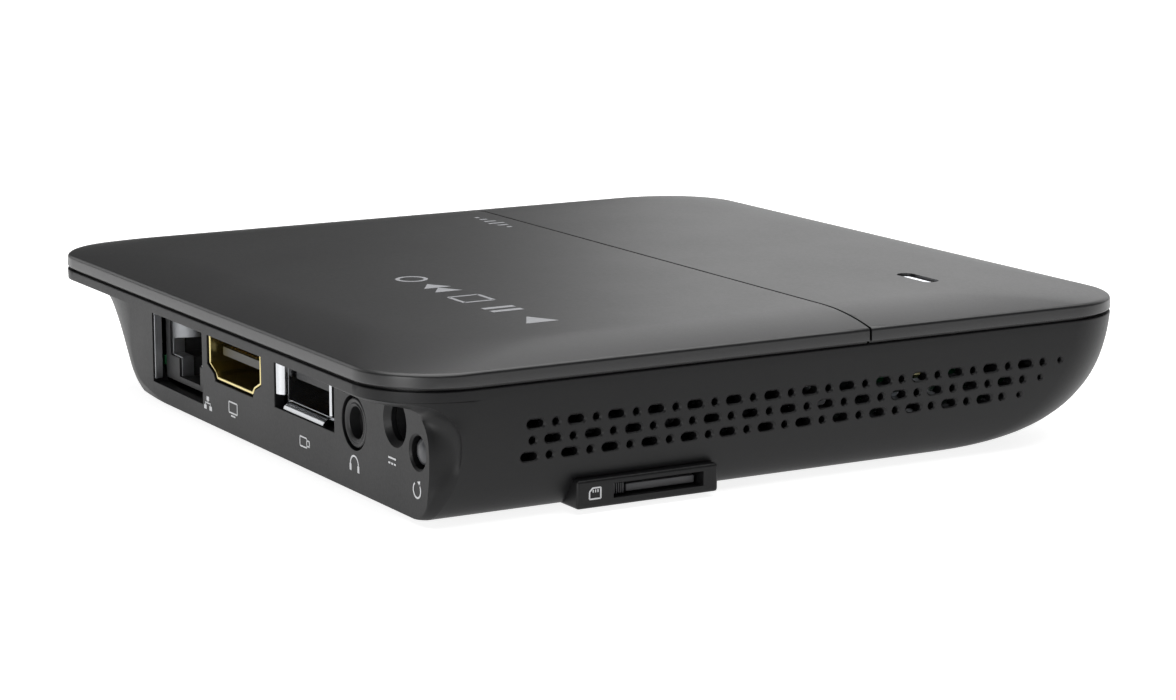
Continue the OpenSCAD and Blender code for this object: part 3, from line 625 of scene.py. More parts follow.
# The recess of the port panel, from its foot up to the lip: how far the side wall runs on past
# the start of the rear corner, its height, and the panel's own edge beside it (X and Z)
NEAR_RECESS = [
    (3.6, 0.6, -44.3, 0.6), (3.4, 0.9, -45.4, 0.9), (3.0, 1.9, -46.8, 1.9), (2.6, 2.9, -47.4, 2.9),
    (1.9, 4.4, -47.8, 4.4), (1.45, 6.4, -48.05, 6.4), (1.3, 8.5, -48.05, 8.3), (1.5, 10.4, -47.75, 9.9),
    (2.4, 12.0, -47.2, 10.9), (4.05, 13.2, -46.3, 11.8), (5.7, 13.6, -45.4, 12.2),
    (7.5, 13.8, -44.2, 12.42), (11.3, 13.9, -42.2, 12.55), (REAR_ARC, LIP_Z, -39.5, 12.75)]
FAR_RECESS = [
    (3.6, 0.6, 23.0, 0.6), (3.5, 0.9, 25.0, 0.9), (3.3, 1.9, 30.0, 1.8), (3.0, 2.9, 32.2, 2.8),
    (2.4, 4.4, 33.6, 4.3), (2.0, 6.4, 34.3, 6.2), (1.9, 8.5, PANEL_LEFT, 8.0),
    (2.1, 10.4, PANEL_LEFT, 9.6), (3.0, 12.0, PANEL_LEFT, 11.0), (4.5, 13.2, PANEL_LEFT, 12.1),
    (6.0, 13.6, PANEL_LEFT, 12.8), (7.7, 13.8, PANEL_LEFT, 13.2), (11.3, 13.9, PANEL_LEFT, 13.6),
    (REAR_ARC, LIP_Z, PANEL_LEFT, PANEL_TOP)]
WALL_ROWS, SIDE_COLUMNS, FRONT_COLUMNS, TURN_COLUMNS, LIP_COLUMNS = 60, 54, 16, 14, 30


def through(points, count):
    """A smooth curve through a few points, as count steps."""
    points = [Vector(p) for p in points]
    last = len(points) - 1
    curve = []
    for k in range(count + 1):
        i = min(int(k / count * last), last - 1)
        t = k / count * last - i
        a, b, c, d = (points[min(max(i + n, 0), last)] for n in (-1, 0, 1, 2))
        curve.append((b * 2 + (c - a) * t + (a * 2 - b * 5 + c * 4 - d) * t * t
                      + (b * 3 - a - c * 3 + d) * t ** 3) / 2)
    return curve


def smooth_step(low, high, value):
    t = min(max((value - low) / (high - low), 0), 1)
    return t * t * (3 - 2 * t)


def lean(z, wall):
    """How far a wall has come in at a height."""
    reach, power = wall
    t = min(max((PARTING_Z - z) / (PARTING_Z - BASE_Z), 0), 1)
    return reach * (1 - (1 - t ** power) ** (1 / power))


def front_radius(z):
    return CORNER_R + 3.5 * (PARTING_Z - z) / (PARTING_Z - BASE_Z)


def side_point(s, z, side):
    """A side wall's point, s back from where the rear corner starts; side is -1 or 1."""
    start_y = HALF_D - CORNER_R
    x, y = HALF_W - lean(z, NEAR_WALL if side < 0 else FAR_WALL), start_y + s
    if s > 0:
        turned = smooth_step(10, 12.5, z)
        a = min(s, REAR_ARC) / CORNER_R
        arc_x = HALF_W - CORNER_R + (CORNER_R - (HALF_W - x)) * math.cos(a)
        x, y = lerp(x, arc_x, turned), lerp(y, start_y + CORNER_R * math.sin(a), turned)
    return Vector((side * x, y, z))


def wall_point(i, s, z):
    """Column i round the vented side, the front and the plain side, from recess to recess."""
    r = front_radius(z)
    front_y = -HALF_D + lean(z, FRONT_WALL)
    turn_s = front_y + r - (HALF_D - CORNER_R)
    if i <= SIDE_COLUMNS:
        return side_point(lerp(s, turn_s, (i / SIDE_COLUMNS) ** 1.8), z, -1)
    i -= SIDE_COLUMNS
    near_x = -HALF_W + lean(z, NEAR_WALL) + r
    far_x = HALF_W - lean(z, FAR_WALL) - r
    if i <= TURN_COLUMNS:
        a = math.pi + math.pi / 2 * i / TURN_COLUMNS
        return Vector((near_x + r * math.cos(a), front_y + r + r * math.sin(a), z))
    i -= TURN_COLUMNS
    if i <= FRONT_COLUMNS:
        return Vector((lerp(near_x, far_x, i / FRONT_COLUMNS), front_y, z))
    i -= FRONT_COLUMNS
    if i <= TURN_COLUMNS:
        a = math.pi * 1.5 + math.pi / 2 * i / TURN_COLUMNS
        return Vector((far_x + r * math.cos(a), front_y + r + r * math.sin(a), z))
    i -= TURN_COLUMNS
    return side_point(lerp(turn_s, s, 1 - (1 - i / SIDE_COLUMNS) ** 1.8), z, 1)


WALL_COLUMNS = 2 * SIDE_COLUMNS + 2 * TURN_COLUMNS + FRONT_COLUMNS


def recess_edges():
    """The rim of the recess and the panel's own edge, point by point from foot to foot."""
    near, far = through(NEAR_RECESS, WALL_ROWS), through(FAR_RECESS, WALL_ROWS)
    rim = [side_point(p[0], p[1], -1) for p in near]
    panel = [Vector((p[2], PANEL_Y, p[3])) for p in near]
    corner_x = HALF_W - CORNER_R
    for k in range(1, LIP_COLUMNS):
        share = k / LIP_COLUMNS
        rim.append(Vector((lerp(-corner_x, corner_x, share), HALF_D, LIP_Z)))
        x = lerp(near[-1][2], PANEL_LEFT, share)
        sink = max(0, (-26 - x) / 13.5) ** 1.5 * (PANEL_TOP - near[-1][3])
        panel.append(Vector((x, PANEL_Y, PANEL_TOP - sink)))
    rim += [side_point(p[0], p[1], 1) for p in reversed(far)]
    panel += [Vector((p[2], PANEL_Y, p[3])) for p in reversed(far)]
    return rim, panel


def outer_skin(bm):
    """The shell as one closed block: wall, recess, panel and the band under the lid."""
    rows = through(NEAR_RECESS, WALL_ROWS)
    sheet(bm, WALL_COLUMNS, WALL_ROWS, lambda i, j: wall_point(i, rows[j][0], rows[j][1]))
    rim, panel = recess_edges()
    steps = 10

    def recess(i, j):
        t = j / steps
        point = panel[i].lerp(rim[i], t)
        # scooped out beside the button, rolled over at its foot, and gently swept at the plain end
        near = lerp(t ** 3, 1 - (1 - t) ** 2.1, smooth_step(2.5, 7.5, point.z))
        swept = smooth_step(WALL_ROWS + 5, WALL_ROWS + LIP_COLUMNS - 5, i)
        point.y = lerp(panel[i].y, rim[i].y, lerp(near, t ** 1.6, swept))
        return point

    sheet(bm, len(rim) - 1, steps, recess)
    band = [(0, LIP_Z), (0, LIP_Z + 0.02), (0, PARTING_Z - 0.15), (0.05, PARTING_Z - 0.05),
            (0.15, PARTING_Z)]
    corner_x = HALF_W - CORNER_R

    def band_point(i, j):
        inset, z = band[j]
        if i <= WALL_COLUMNS:
            point = wall_point(i, REAR_ARC, z)
        else:
            point = Vector((lerp(corner_x, -corner_x, (i - WALL_COLUMNS) / LIP_COLUMNS), HALF_D, z))
        # drawn in towards the middle of the nearest straight run
        middle = Vector((max(-corner_x, min(corner_x, point.x)), max(-35, min(35, point.y)), z))
        return point + (middle - point).normalized() * inset

    sheet(bm, WALL_COLUMNS + LIP_COLUMNS, len(band) - 1, band_point)
    weld(bm)
    on_panel = [e for e in open_edges(bm) if all(abs(v.co.y - PANEL_Y) < 0.001 for v in e.verts)]
    ends = [v for v in {v for e in on_panel for v in e.verts}
            if v.co.z < BASE_Z + 0.001 and sum(e in on_panel for e in v.link_edges) == 1]
    on_panel.append(bm.edges.new(ends))
    bmesh.ops.contextual_create(bm, geom=on_panel)
    bmesh.ops.holes_fill(bm, edges=open_edges(bm), sides=0)
    weld(bm)


def cavity(bm, wall):
    """The room inside the shell, open at the top."""
    heights = [BASE_Z + 1.6, BASE_Z + 2.0, BASE_Z + 3, 5, 7, 9, 11, 13, PARTING_Z + 1]
    turn, per_side = 8, 12

    def place(i, j):
        z = heights[j]
        low = max(BASE_Z + 0.35, z - 0.9)
        x0 = -HALF_W + lean(low, NEAR_WALL) + wall
        x1 = HALF_W - lean(low, FAR_WALL) - wall
        y0 = -HALF_D + lean(low, FRONT_WALL) + wall
        y1 = PANEL_IN_Y
        corners = [(x0, y0, 10, 10), (x1, y0, 10, 10), (x1, y1, 14, 5), (x0, y1, 2, 2)]
        side, k = divmod(i % (4 * per_side), per_side)
        x, y, rx, ry = corners[side]
        a = math.radians(180 + 90 * side + 90 * min(k, turn) / turn)
        cx = x + rx if side in (0, 3) else x - rx
        cy = y + ry if side in (0, 1) else y - ry
        point = Vector((cx + rx * math.cos(a), cy + ry * math.sin(a), z))
        if k <= turn:
            return point
        nx, ny, nrx, nry = corners[(side + 1) % 4]
        b = math.radians(180 + 90 * (side + 1))
        ncx = nx + nrx if (side + 1) % 4 in (0, 3) else nx - nrx
        ncy = ny + nry if (side + 1) % 4 in (0, 1) else ny - nry
        target = Vector((ncx + nrx * math.cos(b), ncy + nry * math.sin(b), z))
        return point.lerp(target, (k - turn) / (per_side - turn))

    sheet(bm, 4 * per_side, len(heights) - 1, place)
    weld(bm)
    bmesh.ops.holes_fill(bm, edges=open_edges(bm), sides=0)
    weld(bm)


def vent_rows():
    """Each vent of the three rows: its place along the side, height, length and width."""
    pitch, gap, count = 4.98, 1.8, 14
    first_y, first_z = 32.4, 10.65
    rows = ((0, count, False), (-2.2, count - 1, True), (0.6, count - 1, False))
    for row, (shift, number, lead) in enumerate(rows):
        y, z = first_y + shift, first_z - row * gap
        for i in range(number):
            yield y - i * pitch, z, "slot"
            yield y - (i + 0.5) * pitch, z, "hole"
        yield y - number * pitch, z, "small"
        if lead:
            yield y + pitch / 2, z, "hole"


def add_vent(bm, y, z, length, height, flare):
    """A cutter through the vented side, wider at its mouth."""
    skin = side_point(y - (HALF_D - CORNER_R), z, -1).x
    turn = Matrix.Rotation(math.radians(90), 4, "Y") @ Matrix.Rotation(math.radians(90), 4, "Z")
    outside, through_wall = 0.4, 3.2
    mouth = length + 2 * flare, height + 2 * flare
    edge = bmesh.ops.create_circle(bm, cap_ends=True, radius=mouth[1] / 2, segments=16,
                                   matrix=Matrix.Rotation(math.pi / 16, 4, "Z"))["verts"]
    for side in (1, -1):
        half = [v for v in edge if v.co.x * side > 0]
        bmesh.ops.translate(bm, verts=half, vec=(side * (mouth[0] - mouth[1]) / 2, 0, 0))
    bmesh.ops.transform(bm, verts=edge, matrix=Matrix.Translation((skin - outside, y, z)) @ turn)
    face = edge[0].link_faces[0]
    made = bmesh.ops.extrude_face_region(bm, geom=[face])["geom"]
    face = next(g for g in made if isinstance(g, bmesh.types.BMFace))
    centre = Vector((skin, y, z))
    bmesh.ops.translate(bm, verts=face.verts, vec=(outside, 0, 0))
    for depth, shrink in ((flare, True), (through_wall, False)):
        face = bmesh.ops.extrude_discrete_faces(bm, faces=[face])["faces"][0]
        bmesh.ops.translate(bm, verts=face.verts, vec=(depth, 0, 0))
        if shrink:
            bmesh.ops.scale(bm, verts=face.verts, vec=(1, length / mouth[0], height / mouth[1]),
                            space=Matrix.Translation(-centre))


def add_slot(bm, centre, length, width, low, high, segments=24):
    """A bar with round ends along X, from low to high."""
    ring = bmesh.ops.create_circle(bm, cap_ends=True, radius=width / 2, segments=segments,
                                   matrix=Matrix.Rotation(math.pi / segments, 4, "Z"))["verts"]
    for side in (1, -1):
        half = [v for v in ring if v.co.x * side > 0]
        bmesh.ops.translate(bm, verts=half, vec=(side * (length - width) / 2, 0, 0))
    bmesh.ops.translate(bm, verts=ring, vec=(*centre, low))
    face = ring[0].link_faces[0]
    made = bmesh.ops.extrude_face_region(bm, geom=[face])["geom"]
    top = [g for g in made if isinstance(g, bmesh.types.BMVert)]
    bmesh.ops.translate(bm, verts=top, vec=(0, 0, high - low))


def seen_from_behind(x, y, z):
    """Places a drawing so that its X runs to the left, as seen from behind, and its Y up."""
    turn = Matrix.Rotation(math.pi, 4, "Z") @ Matrix.Rotation(math.radians(90), 4, "X")
    return Matrix.Translation((x, y, z)) @ turn


def video_outline(grow):
    """The video socket's D-shaped outline round its own middle."""
    low, high = box_mm("hdmi_shell")
    half = (high.z - low.z) / 2
    w, h = (high.x - low.x) / 2 + grow, half + grow
    foot, knee, step = 5.2 + grow * 0.6, 0.75 - half - grow * 0.5, 1.6 - half - grow * 0.4
    right = [(foot, -h), (foot + 0.5, knee), (w, step), (w, h)]
    return right + [(-x, y) for x, y in reversed(right)]


def mouth_outline(grow):
    """The network socket's mouth, with the step for the plug's latch, round the latch's foot."""
    w, latch = 5.95 + grow, 3.2 + grow
    foot, shoulder, top = 3.4 - grow, 6.3 - grow, 13.0 + grow
    return [(-latch, foot), (latch, foot), (latch, shoulder), (w, shoulder), (w, top), (-w, top),
            (-w, shoulder), (-latch, shoulder)]


def port_windows(bm):
    """Cutters for the openings in the port panel."""
    y0, y1 = PANEL_IN_Y - 0.6, PANEL_Y + 0.6
    low, high = box_mm("network_shield")
    add_box(bm, (low.x, y0, low.z - 0.25), (high.x + 0.25, y1, high.z - 0.25))
    c = centre_mm("hdmi_shell")
    add_prism(bm, video_outline(0.25), -0.6, y1 - y0 - 0.6, seen_from_behind(c.x, y0 + 0.6, c.z))
    low, high = box_mm("usb_shell")
    add_box(bm, (low.x - 0.25, y0, 6.25), (high.x + 0.25, y1, 13.45))
    for node, steps in (
            ("audio_jack", [(0, 3.05), (2.6, 3.05)]),
            ("power_pin", [(0, 2.15), (1.25, 2.15), (1.8, 2.65), (2.6, 3.4)]),
            ("reset_button", [(0, 1.8), (1.7, 1.8), (1.8, 1.9), (2.6, 2.7)])):
        c = centre_mm(node)
        stretched = [(d * (y1 - y0) / steps[-1][0], r) for d, r in steps]
        add_rod(bm, (c.x, y0, c.z), (0, 1, 0), stretched, 40)


class PLAYER_OT_shell(bpy.types.Operator):
    """Make the lower shell with its recessed port panel, its vents and its card slot"""
    bl_idname = "player.shell"
    bl_label = "Lower shell"

    def execute(self, context):
        sizes = context.scene.player_sizes
        shell = bmesh.new()
        outer_skin(shell)
        self.soften(shell)
        pad = bmesh.new()
        add_box(pad, *CARD_PAD, 0.35, 3)
        combine(shell, pad, "UNION")
        room = bmesh.new()
        cavity(room, sizes.wall / MM)
        combine(shell, room, "DIFFERENCE")
        cutters = bmesh.new()
        length, height = sizes.vent_length / MM, sizes.vent_height / MM
        dot, flare = sizes.vent_dot / MM, sizes.vent_flare / MM
        for y, z, kind in vent_rows():
            small = dot * 0.65
            size = {"slot": (length, height), "hole": (dot, dot), "small": (small, small)}[kind]
            add_vent(cutters, y, z, *size, flare)
        port_windows(cutters)
        add_box(cutters, *CARD_MOUTH)
        bmesh.ops.recalc_face_normals(cutters, faces=cutters.faces[:])
        combine(shell, cutters, "DIFFERENCE")
        wells = bmesh.new()
        for x, y in CASE_SCREWS:
            well = [(0, 2.9), (0.9, 2.9), (1.2, 2.5), (2.9, 2.5)]
            add_rod(wells, (x, y, -0.4), (0, 0, 1), well, 32)
        weld(wells)
        combine(shell, wells, "DIFFERENCE")
        self.ease_mouths(shell)
        finished(shell, "shell", finish("shell"),
                 stands_for=["lower_shell", "near_bay", "middle_bay", "network_bay"])
        return {"FINISHED"}

    def soften(self, bm):
        """Round the rim of the recess, softly beside the button and crisply at its plain end."""
        for side, width in ((-1, 0.3), (1, 0.1)):
            def rim(edge):
                middle = (edge.verts[0].co + edge.verts[1].co) / 2
                inside = BASE_Z + 0.05 < middle.z < PARTING_Z - 0.3 and middle.y < HALF_D - 0.05
                return edge.calc_face_angle(0) > math.radians(35) and middle.x * side > 0 and inside
            round_edges(bm, edges_where(bm, rim), width, 3)

    def ease_mouths(self, bm):
        """Take the sharpness off the windows' edges on the panel."""
        def mouth(edge):
            flat = all(abs(v.co.y - PANEL_Y) < 0.003 for v in edge.verts)
            inside = all(-48 < v.co.x < 34 and 1.2 < v.co.z < 13.7 for v in edge.verts)
            return flat and inside and edge.calc_face_angle(0) > math.radians(50)
        round_edges(bm, edges_where(bm, mouth), 0.12)


# ---------- the sockets ----------

def add_tube(bm, outline, inner, place, front, back, rim):
    """A tube of sheet metal whose front edge is rounded; the outlines are drawn in X and Y."""
    outer = [bm.verts.new((x, y, front)) for x, y in outline]
    hole = [bm.verts.new((x, y, front)) for x, y in inner]
    loops = [bm.edges.new((ring[k], ring[(k + 1) % len(ring)]))
             for ring in (outer, hole) for k in range(len(ring))]
    made = bmesh.ops.bridge_loops(bm, edges=loops)
    pulled = bmesh.ops.extrude_face_region(bm, geom=made["faces"])["geom"]
    moved = [g for g in pulled if isinstance(g, bmesh.types.BMVert)]
    bmesh.ops.translate(bm, verts=moved, vec=(0, 0, back - front))
    verts = outer + hole + moved
    if rim:
        edges = {e for v in outer + hole for e in v.link_edges
                 if all(w in outer for w in e.verts) or all(w in hole for w in e.verts)}
        result = bmesh.ops.bevel(bm, geom=list(edges), offset=rim, offset_type="OFFSET",
                                 affect="EDGES", segments=2, profile=0.5, material=-1,
                                 clamp_overlap=True)
        verts = [v for v in verts if v.is_valid] + [v for v in result["verts"] if v.is_valid]
    bmesh.ops.transform(bm, verts=list(set(verts)), matrix=place)


class PLAYER_OT_network_socket(bpy.types.Operator):
    """Make the network socket's stamped shield, with its mouth turned in and its sprung fingers"""
    bl_idname = "player.network_socket"
    bl_label = "Network socket"

    def execute(self, context):
        low, high = box_mm("network_shield")
        high.y -= 0.65      # the mouth stands a little behind the panel
        x = (low.x + high.x) / 2
        metal = Vector((0.3, 0.3, 0.3))
        shield = bmesh.new()
        add_box(shield, low, high, 0.35, 3)
        tool = bmesh.new()
        add_box(tool, low + metal, high - metal)
        combine(shield, tool, "DIFFERENCE")
        tool = bmesh.new()
        add_prism(tool, mouth_outline(0.02), -1, 2, seen_from_behind(x, high.y - 0.5, 0))
        combine(shield, tool, "DIFFERENCE")
        # the mouth's edges are folded back into the socket
        fold = seen_from_behind(x, high.y - 1.5, 0)
        add_tube(shield, mouth_outline(0.02), mouth_outline(-0.16), fold, 1.56, 0, 0.07)
        # the side flange that grounds the shield against the window
        add_box(shield, (high.x, PANEL_IN_Y, low.z + 0.1),
                (high.x + 0.2, PANEL_Y - 0.2, high.z - 0.4), 0.08)
        # two fingers that press on the plug's own shield
        for side in (-1, 1):
            self.finger(shield, x + side * 5.9, high.y, side)
        weld(shield, 0.001)
        finished(shield, "network_shield_steel", finish("tin"),
                 stands_for=["network_shield"])
        return {"FINISHED"}

    def finger(self, bm, x, y, side):
        """A strip that springs in from the side wall of the mouth."""
        curve = through([(0, 0.05), (0.15, -0.6), (0.75, -2.2), (0.9, -3.4), (0.55, -4.6)], 10)

        def place(i, j):
            inwards, back = curve[i]
            return Vector((x - side * inwards, y + back, 8.4 + 2.4 * j))

        strip = bmesh.new()
        sheet(strip, 10, 1, place)
        weld(strip)
        bmesh.ops.solidify(strip, geom=strip.faces[:], thickness=0.12)
        put(bm, strip)


class PLAYER_OT_video_socket(bpy.types.Operator):
    """Make the video socket's D-shaped gold shell"""
    bl_idname = "player.video_socket"
    bl_label = "Video socket"

    def execute(self, context):
        c = centre_mm("hdmi_shell")
        low, high = box_mm("hdmi_shell")
        shell = bmesh.new()
        add_tube(shell, video_outline(0), video_outline(-0.4), seen_from_behind(c.x, low.y, c.z),
                 high.y - low.y, 0.4, 0.13)
        weld(shell)
        finished(shell, "video_shell", finish("gold"), stands_for=["hdmi_shell"])
        return {"FINISHED"}


class PLAYER_OT_usb_socket(bpy.types.Operator):
    """Make the USB socket's steel shell with its four flared lips"""
    bl_idname = "player.usb_socket"
    bl_label = "USB socket"

    def execute(self, context):
        low, high = box_mm("usb_shell")
        x = (low.x + high.x) / 2
        w, h, z, metal = 6.55, 2.85, 9.85, 0.3
        outer, inner = ([(-w + t, -h + t), (w - t, -h + t), (w - t, h - t), (-w + t, h - t)]
                        for t in (0, metal))
        shell = bmesh.new()
        place = seen_from_behind(x, low.y, z)
        add_tube(shell, outer, inner, place, PANEL_Y - 1.05 - low.y, metal, 0)
        lips = ((0, 10.6, 0.6), (90, 4.0, 0.8), (180, 10.6, 0.75), (270, 4.0, 0.8))
        for turn, length, reach in lips:
            offset = h if turn in (0, 180) else w
            self.lip(shell, place, PANEL_Y + 0.12 - low.y, turn, length, offset, reach)
        finished(shell, "usb_shell_steel", finish("nickel"),
                 stands_for=["usb_shell"])
        return {"FINISHED"}

    def lip(self, bm, place, front, turn, length, offset, reach):
        """One flared lip, bent outwards round a curve."""
        curve = through([(0, -1.25), (0.02, -0.95), (0.12 * reach, -0.6), (0.5 * reach, -0.2),
                         (reach, 0)], 12)
        around = Matrix.Rotation(math.radians(turn), 4, "Z")

        def spot(i, j):
            out, back = curve[j]
            share = i / 8 * 2 - 1
            along = share * (length / 2 - 0.1 * out)
            return place @ around @ Vector((along, offset - 0.26 + out, front + back))

        lip = bmesh.new()
        sheet(lip, 8, 12, spot)
        weld(lip)
        bmesh.ops.solidify(lip, geom=lip.faces[:], thickness=0.26)
        put(bm, lip)


class PLAYER_OT_audio_socket(bpy.types.Operator):
    """Make the audio socket with its rounded nose and its bore"""
    bl_idname = "player.audio_socket"
    bl_label = "Audio socket"

    def execute(self, context):
        low, high = box_mm("audio_jack")
        c = centre_mm("audio_jack")
        c.z = AUDIO_Z
        jack = bmesh.new()
        add_box(jack, low, (high.x, AUDIO_NOSE_Y, high.z), 0.25)
        bore = bmesh.new()
        add_rod(bore, (c.x, low.y + 1, c.z), (0, 1, 0), [(0, 1.85), (20, 1.85)], 48)
        combine(jack, bore, "DIFFERENCE")
        nose = [(0, 1.8), (1.25, 1.8), (1.4, 1.95), (1.45, 2.1), (1.35, 2.25), (1.42, 2.45),
                (1.45, 2.6), (1.38, 2.72), (1.2, 2.8), (0, 2.8)]
        verts = [jack.verts.new((c.x + r, AUDIO_NOSE_Y + y, c.z)) for y, r in nose]
        edges = [jack.edges.new(pair) for pair in zip(verts, verts[1:])]
        bmesh.ops.spin(jack, geom=verts + edges, cent=(c.x, AUDIO_NOSE_Y, c.z), axis=(0, 1, 0),
                       angle=math.tau, steps=56, use_merge=True)
        weld(jack)
        finished(jack, "audio_socket_body", finish("insulator"),
                 stands_for=["audio_jack"])
        return {"FINISHED"}


class PLAYER_OT_reset_button(bpy.types.Operator):
    """Make the domed reset button"""
    bl_idname = "player.reset_button"
    bl_label = "Reset button"

    def execute(self, context):
        low, high = box_mm("reset_button")
        c = centre_mm("reset_button")
        long = high.y - low.y
        button = bmesh.new()
        dome = [(long - 0.6 + 0.6 * math.sin(math.radians(a)), 1.5 * math.cos(math.radians(a)))
                for a in range(0, 84, 8)]
        add_rod(button, (c.x, low.y, c.z), (0, 1, 0),
                [(0, 2.0), (0.7, 2.0), (0.8, 1.5), *dome], 40)
        weld(button)
        # the cap's finish is painted paler grey: a painted highlight on the dome
        finished(button, "reset_cap", finish("button"), body="reset",
                 stands_for=["reset_button"])
        return {"FINISHED"}


class PLAYER_OT_card_slot(bpy.types.Operator):
    """Make the card reader's ribbed mouth behind the slot, and the return spring of its slider"""
    bl_idname = "player.card_slot"
    bl_label = "Card slot"

    def execute(self, context):
        self.ribbed_mouth()
        self.return_spring()
        return {"FINISHED"}

    def return_spring(self):
        """The spring shortens between the cage and the slider when a card is pushed in."""
        low, high = box_mm("card_spring")
        wire, turns = 0.07, 5
        middle = (low + high) / 2
        radius = (high.z - low.z) / 2 - wire
        spring = bmesh.new()
        turn = Matrix.Rotation(math.radians(90), 4, "X")
        start = Matrix.Translation((low.x + wire, middle.y, middle.z + radius)) @ turn
        ring = bmesh.ops.create_circle(spring, cap_ends=True, radius=wire, segments=8,
                                       matrix=start)["verts"]
        steps, long = 20 * turns, high.x - low.x
        bmesh.ops.spin(spring, geom=list(ring[0].link_faces), cent=(low.x, middle.y, middle.z),
                       axis=(1, 0, 0), angle=math.tau * turns, steps=steps,
                       dvec=((long - 2 * wire) / steps, 0, 0))
        weld(spring)
        coil = finished(spring, "card_return_spring", finish("zinc"),
                        stands_for=["card_spring"])
        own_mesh(coil)

    def ribbed_mouth(self):
        mouth = bmesh.new()
        add_box(mouth, (-48.6, 11.9, 1.62), (-47.3, 20.6, 2.5), 0.12)
        for k in range(7):
            y = 21.0 + k * 0.28
            add_box(mouth, (-48.8, y, 1.6), (-47.3, y + 0.14, 2.75), 0.03, 1)
        add_box(mouth, (-47.6, 11.6, 1.5), (-47.2, 22.8, 3.0))
        weld(mouth)
        # the mouth's even mid-grey is painted light on the slot's inner wall
        finished(mouth, "card_mouth", finish("mouth"))


# ---------- light, prints and underside ----------

class PLAYER_OT_light(bpy.types.Operator):
    """Make the status light's frosted bar"""
    bl_idname = "player.light"
    bl_label = "Status light"

    def execute(self, context):
        low, high = box_mm("light_pipe")
        c = centre_mm("status_led")
        guide = bmesh.new()
        add_slot(guide, (c.x, c.y), 5.9, 1.34, 13, high.z)
        top = [e for e in guide.edges if all(abs(v.co.z - high.z) < 0.001 for v in e.verts)]
        round_edges(guide, top, 0.12)
        add_slot(guide, (c.x, c.y), 8.4, 3.6, TOP_Z - 3.4, TOP_Z - 2.2)
        add_rod(guide, (c.x, c.y, low.z), (0, 0, 1), [(0, 1.5), (5.4, 1.5)], 32)
        weld(guide)
        finished(guide, "light_bar", finish("guide"), stands_for=["light_pipe"])
        return {"FINISHED"}


def add_path(bm, points, width, height):
    """Printed straight lines with square ends, from point to point."""
    for start, end in zip(points, points[1:]):
        start, end = Vector((*start, 0)), Vector((*end, 0))
        run = end - start
        turn = Matrix.Rotation(math.atan2(run.y, run.x), 4, "Z")
        place = Matrix.Translation((start + end) / 2 + Vector((0, 0, height / 2))) @ turn
        size = Matrix.Diagonal((run.length, width, height, 1))
        bmesh.ops.create_cube(bm, size=1.0, matrix=place @ size)


def add_ring(bm, centre, radius, width, height, sweep=360):
    """A printed ring, or part of one."""
    verts = [bm.verts.new((centre[0] + r, centre[1], z))
             for r, z in ((radius - width / 2, 0), (radius + width / 2, 0),
                          (radius + width / 2, height), (radius - width / 2, height))]
    edges = [bm.edges.new((verts[k], verts[(k + 1) % 4])) for k in range(4)]
    bmesh.ops.spin(bm, geom=verts + edges, cent=(*centre, 0), axis=(0, 0, 1),
                   angle=math.radians(sweep), steps=max(8, int(sweep / 12)), use_merge=sweep == 360)


def add_patch(bm, outline, height):
    """A printed area."""
    add_prism(bm, outline, 0, height)


def add_bar(bm, centre, width, tall, height):
    """A printed upright rectangle."""
    x, y, w, t = *centre, width / 2, tall / 2
    add_patch(bm, [(x - w, y - t), (x + w, y - t), (x + w, y + t), (x - w, y + t)], height)


def around(w, top, bottom):
    """The corners of an upright frame, back to the first."""
    return [(-w, top), (w, top), (w, bottom), (-w, bottom), (-w, top)]


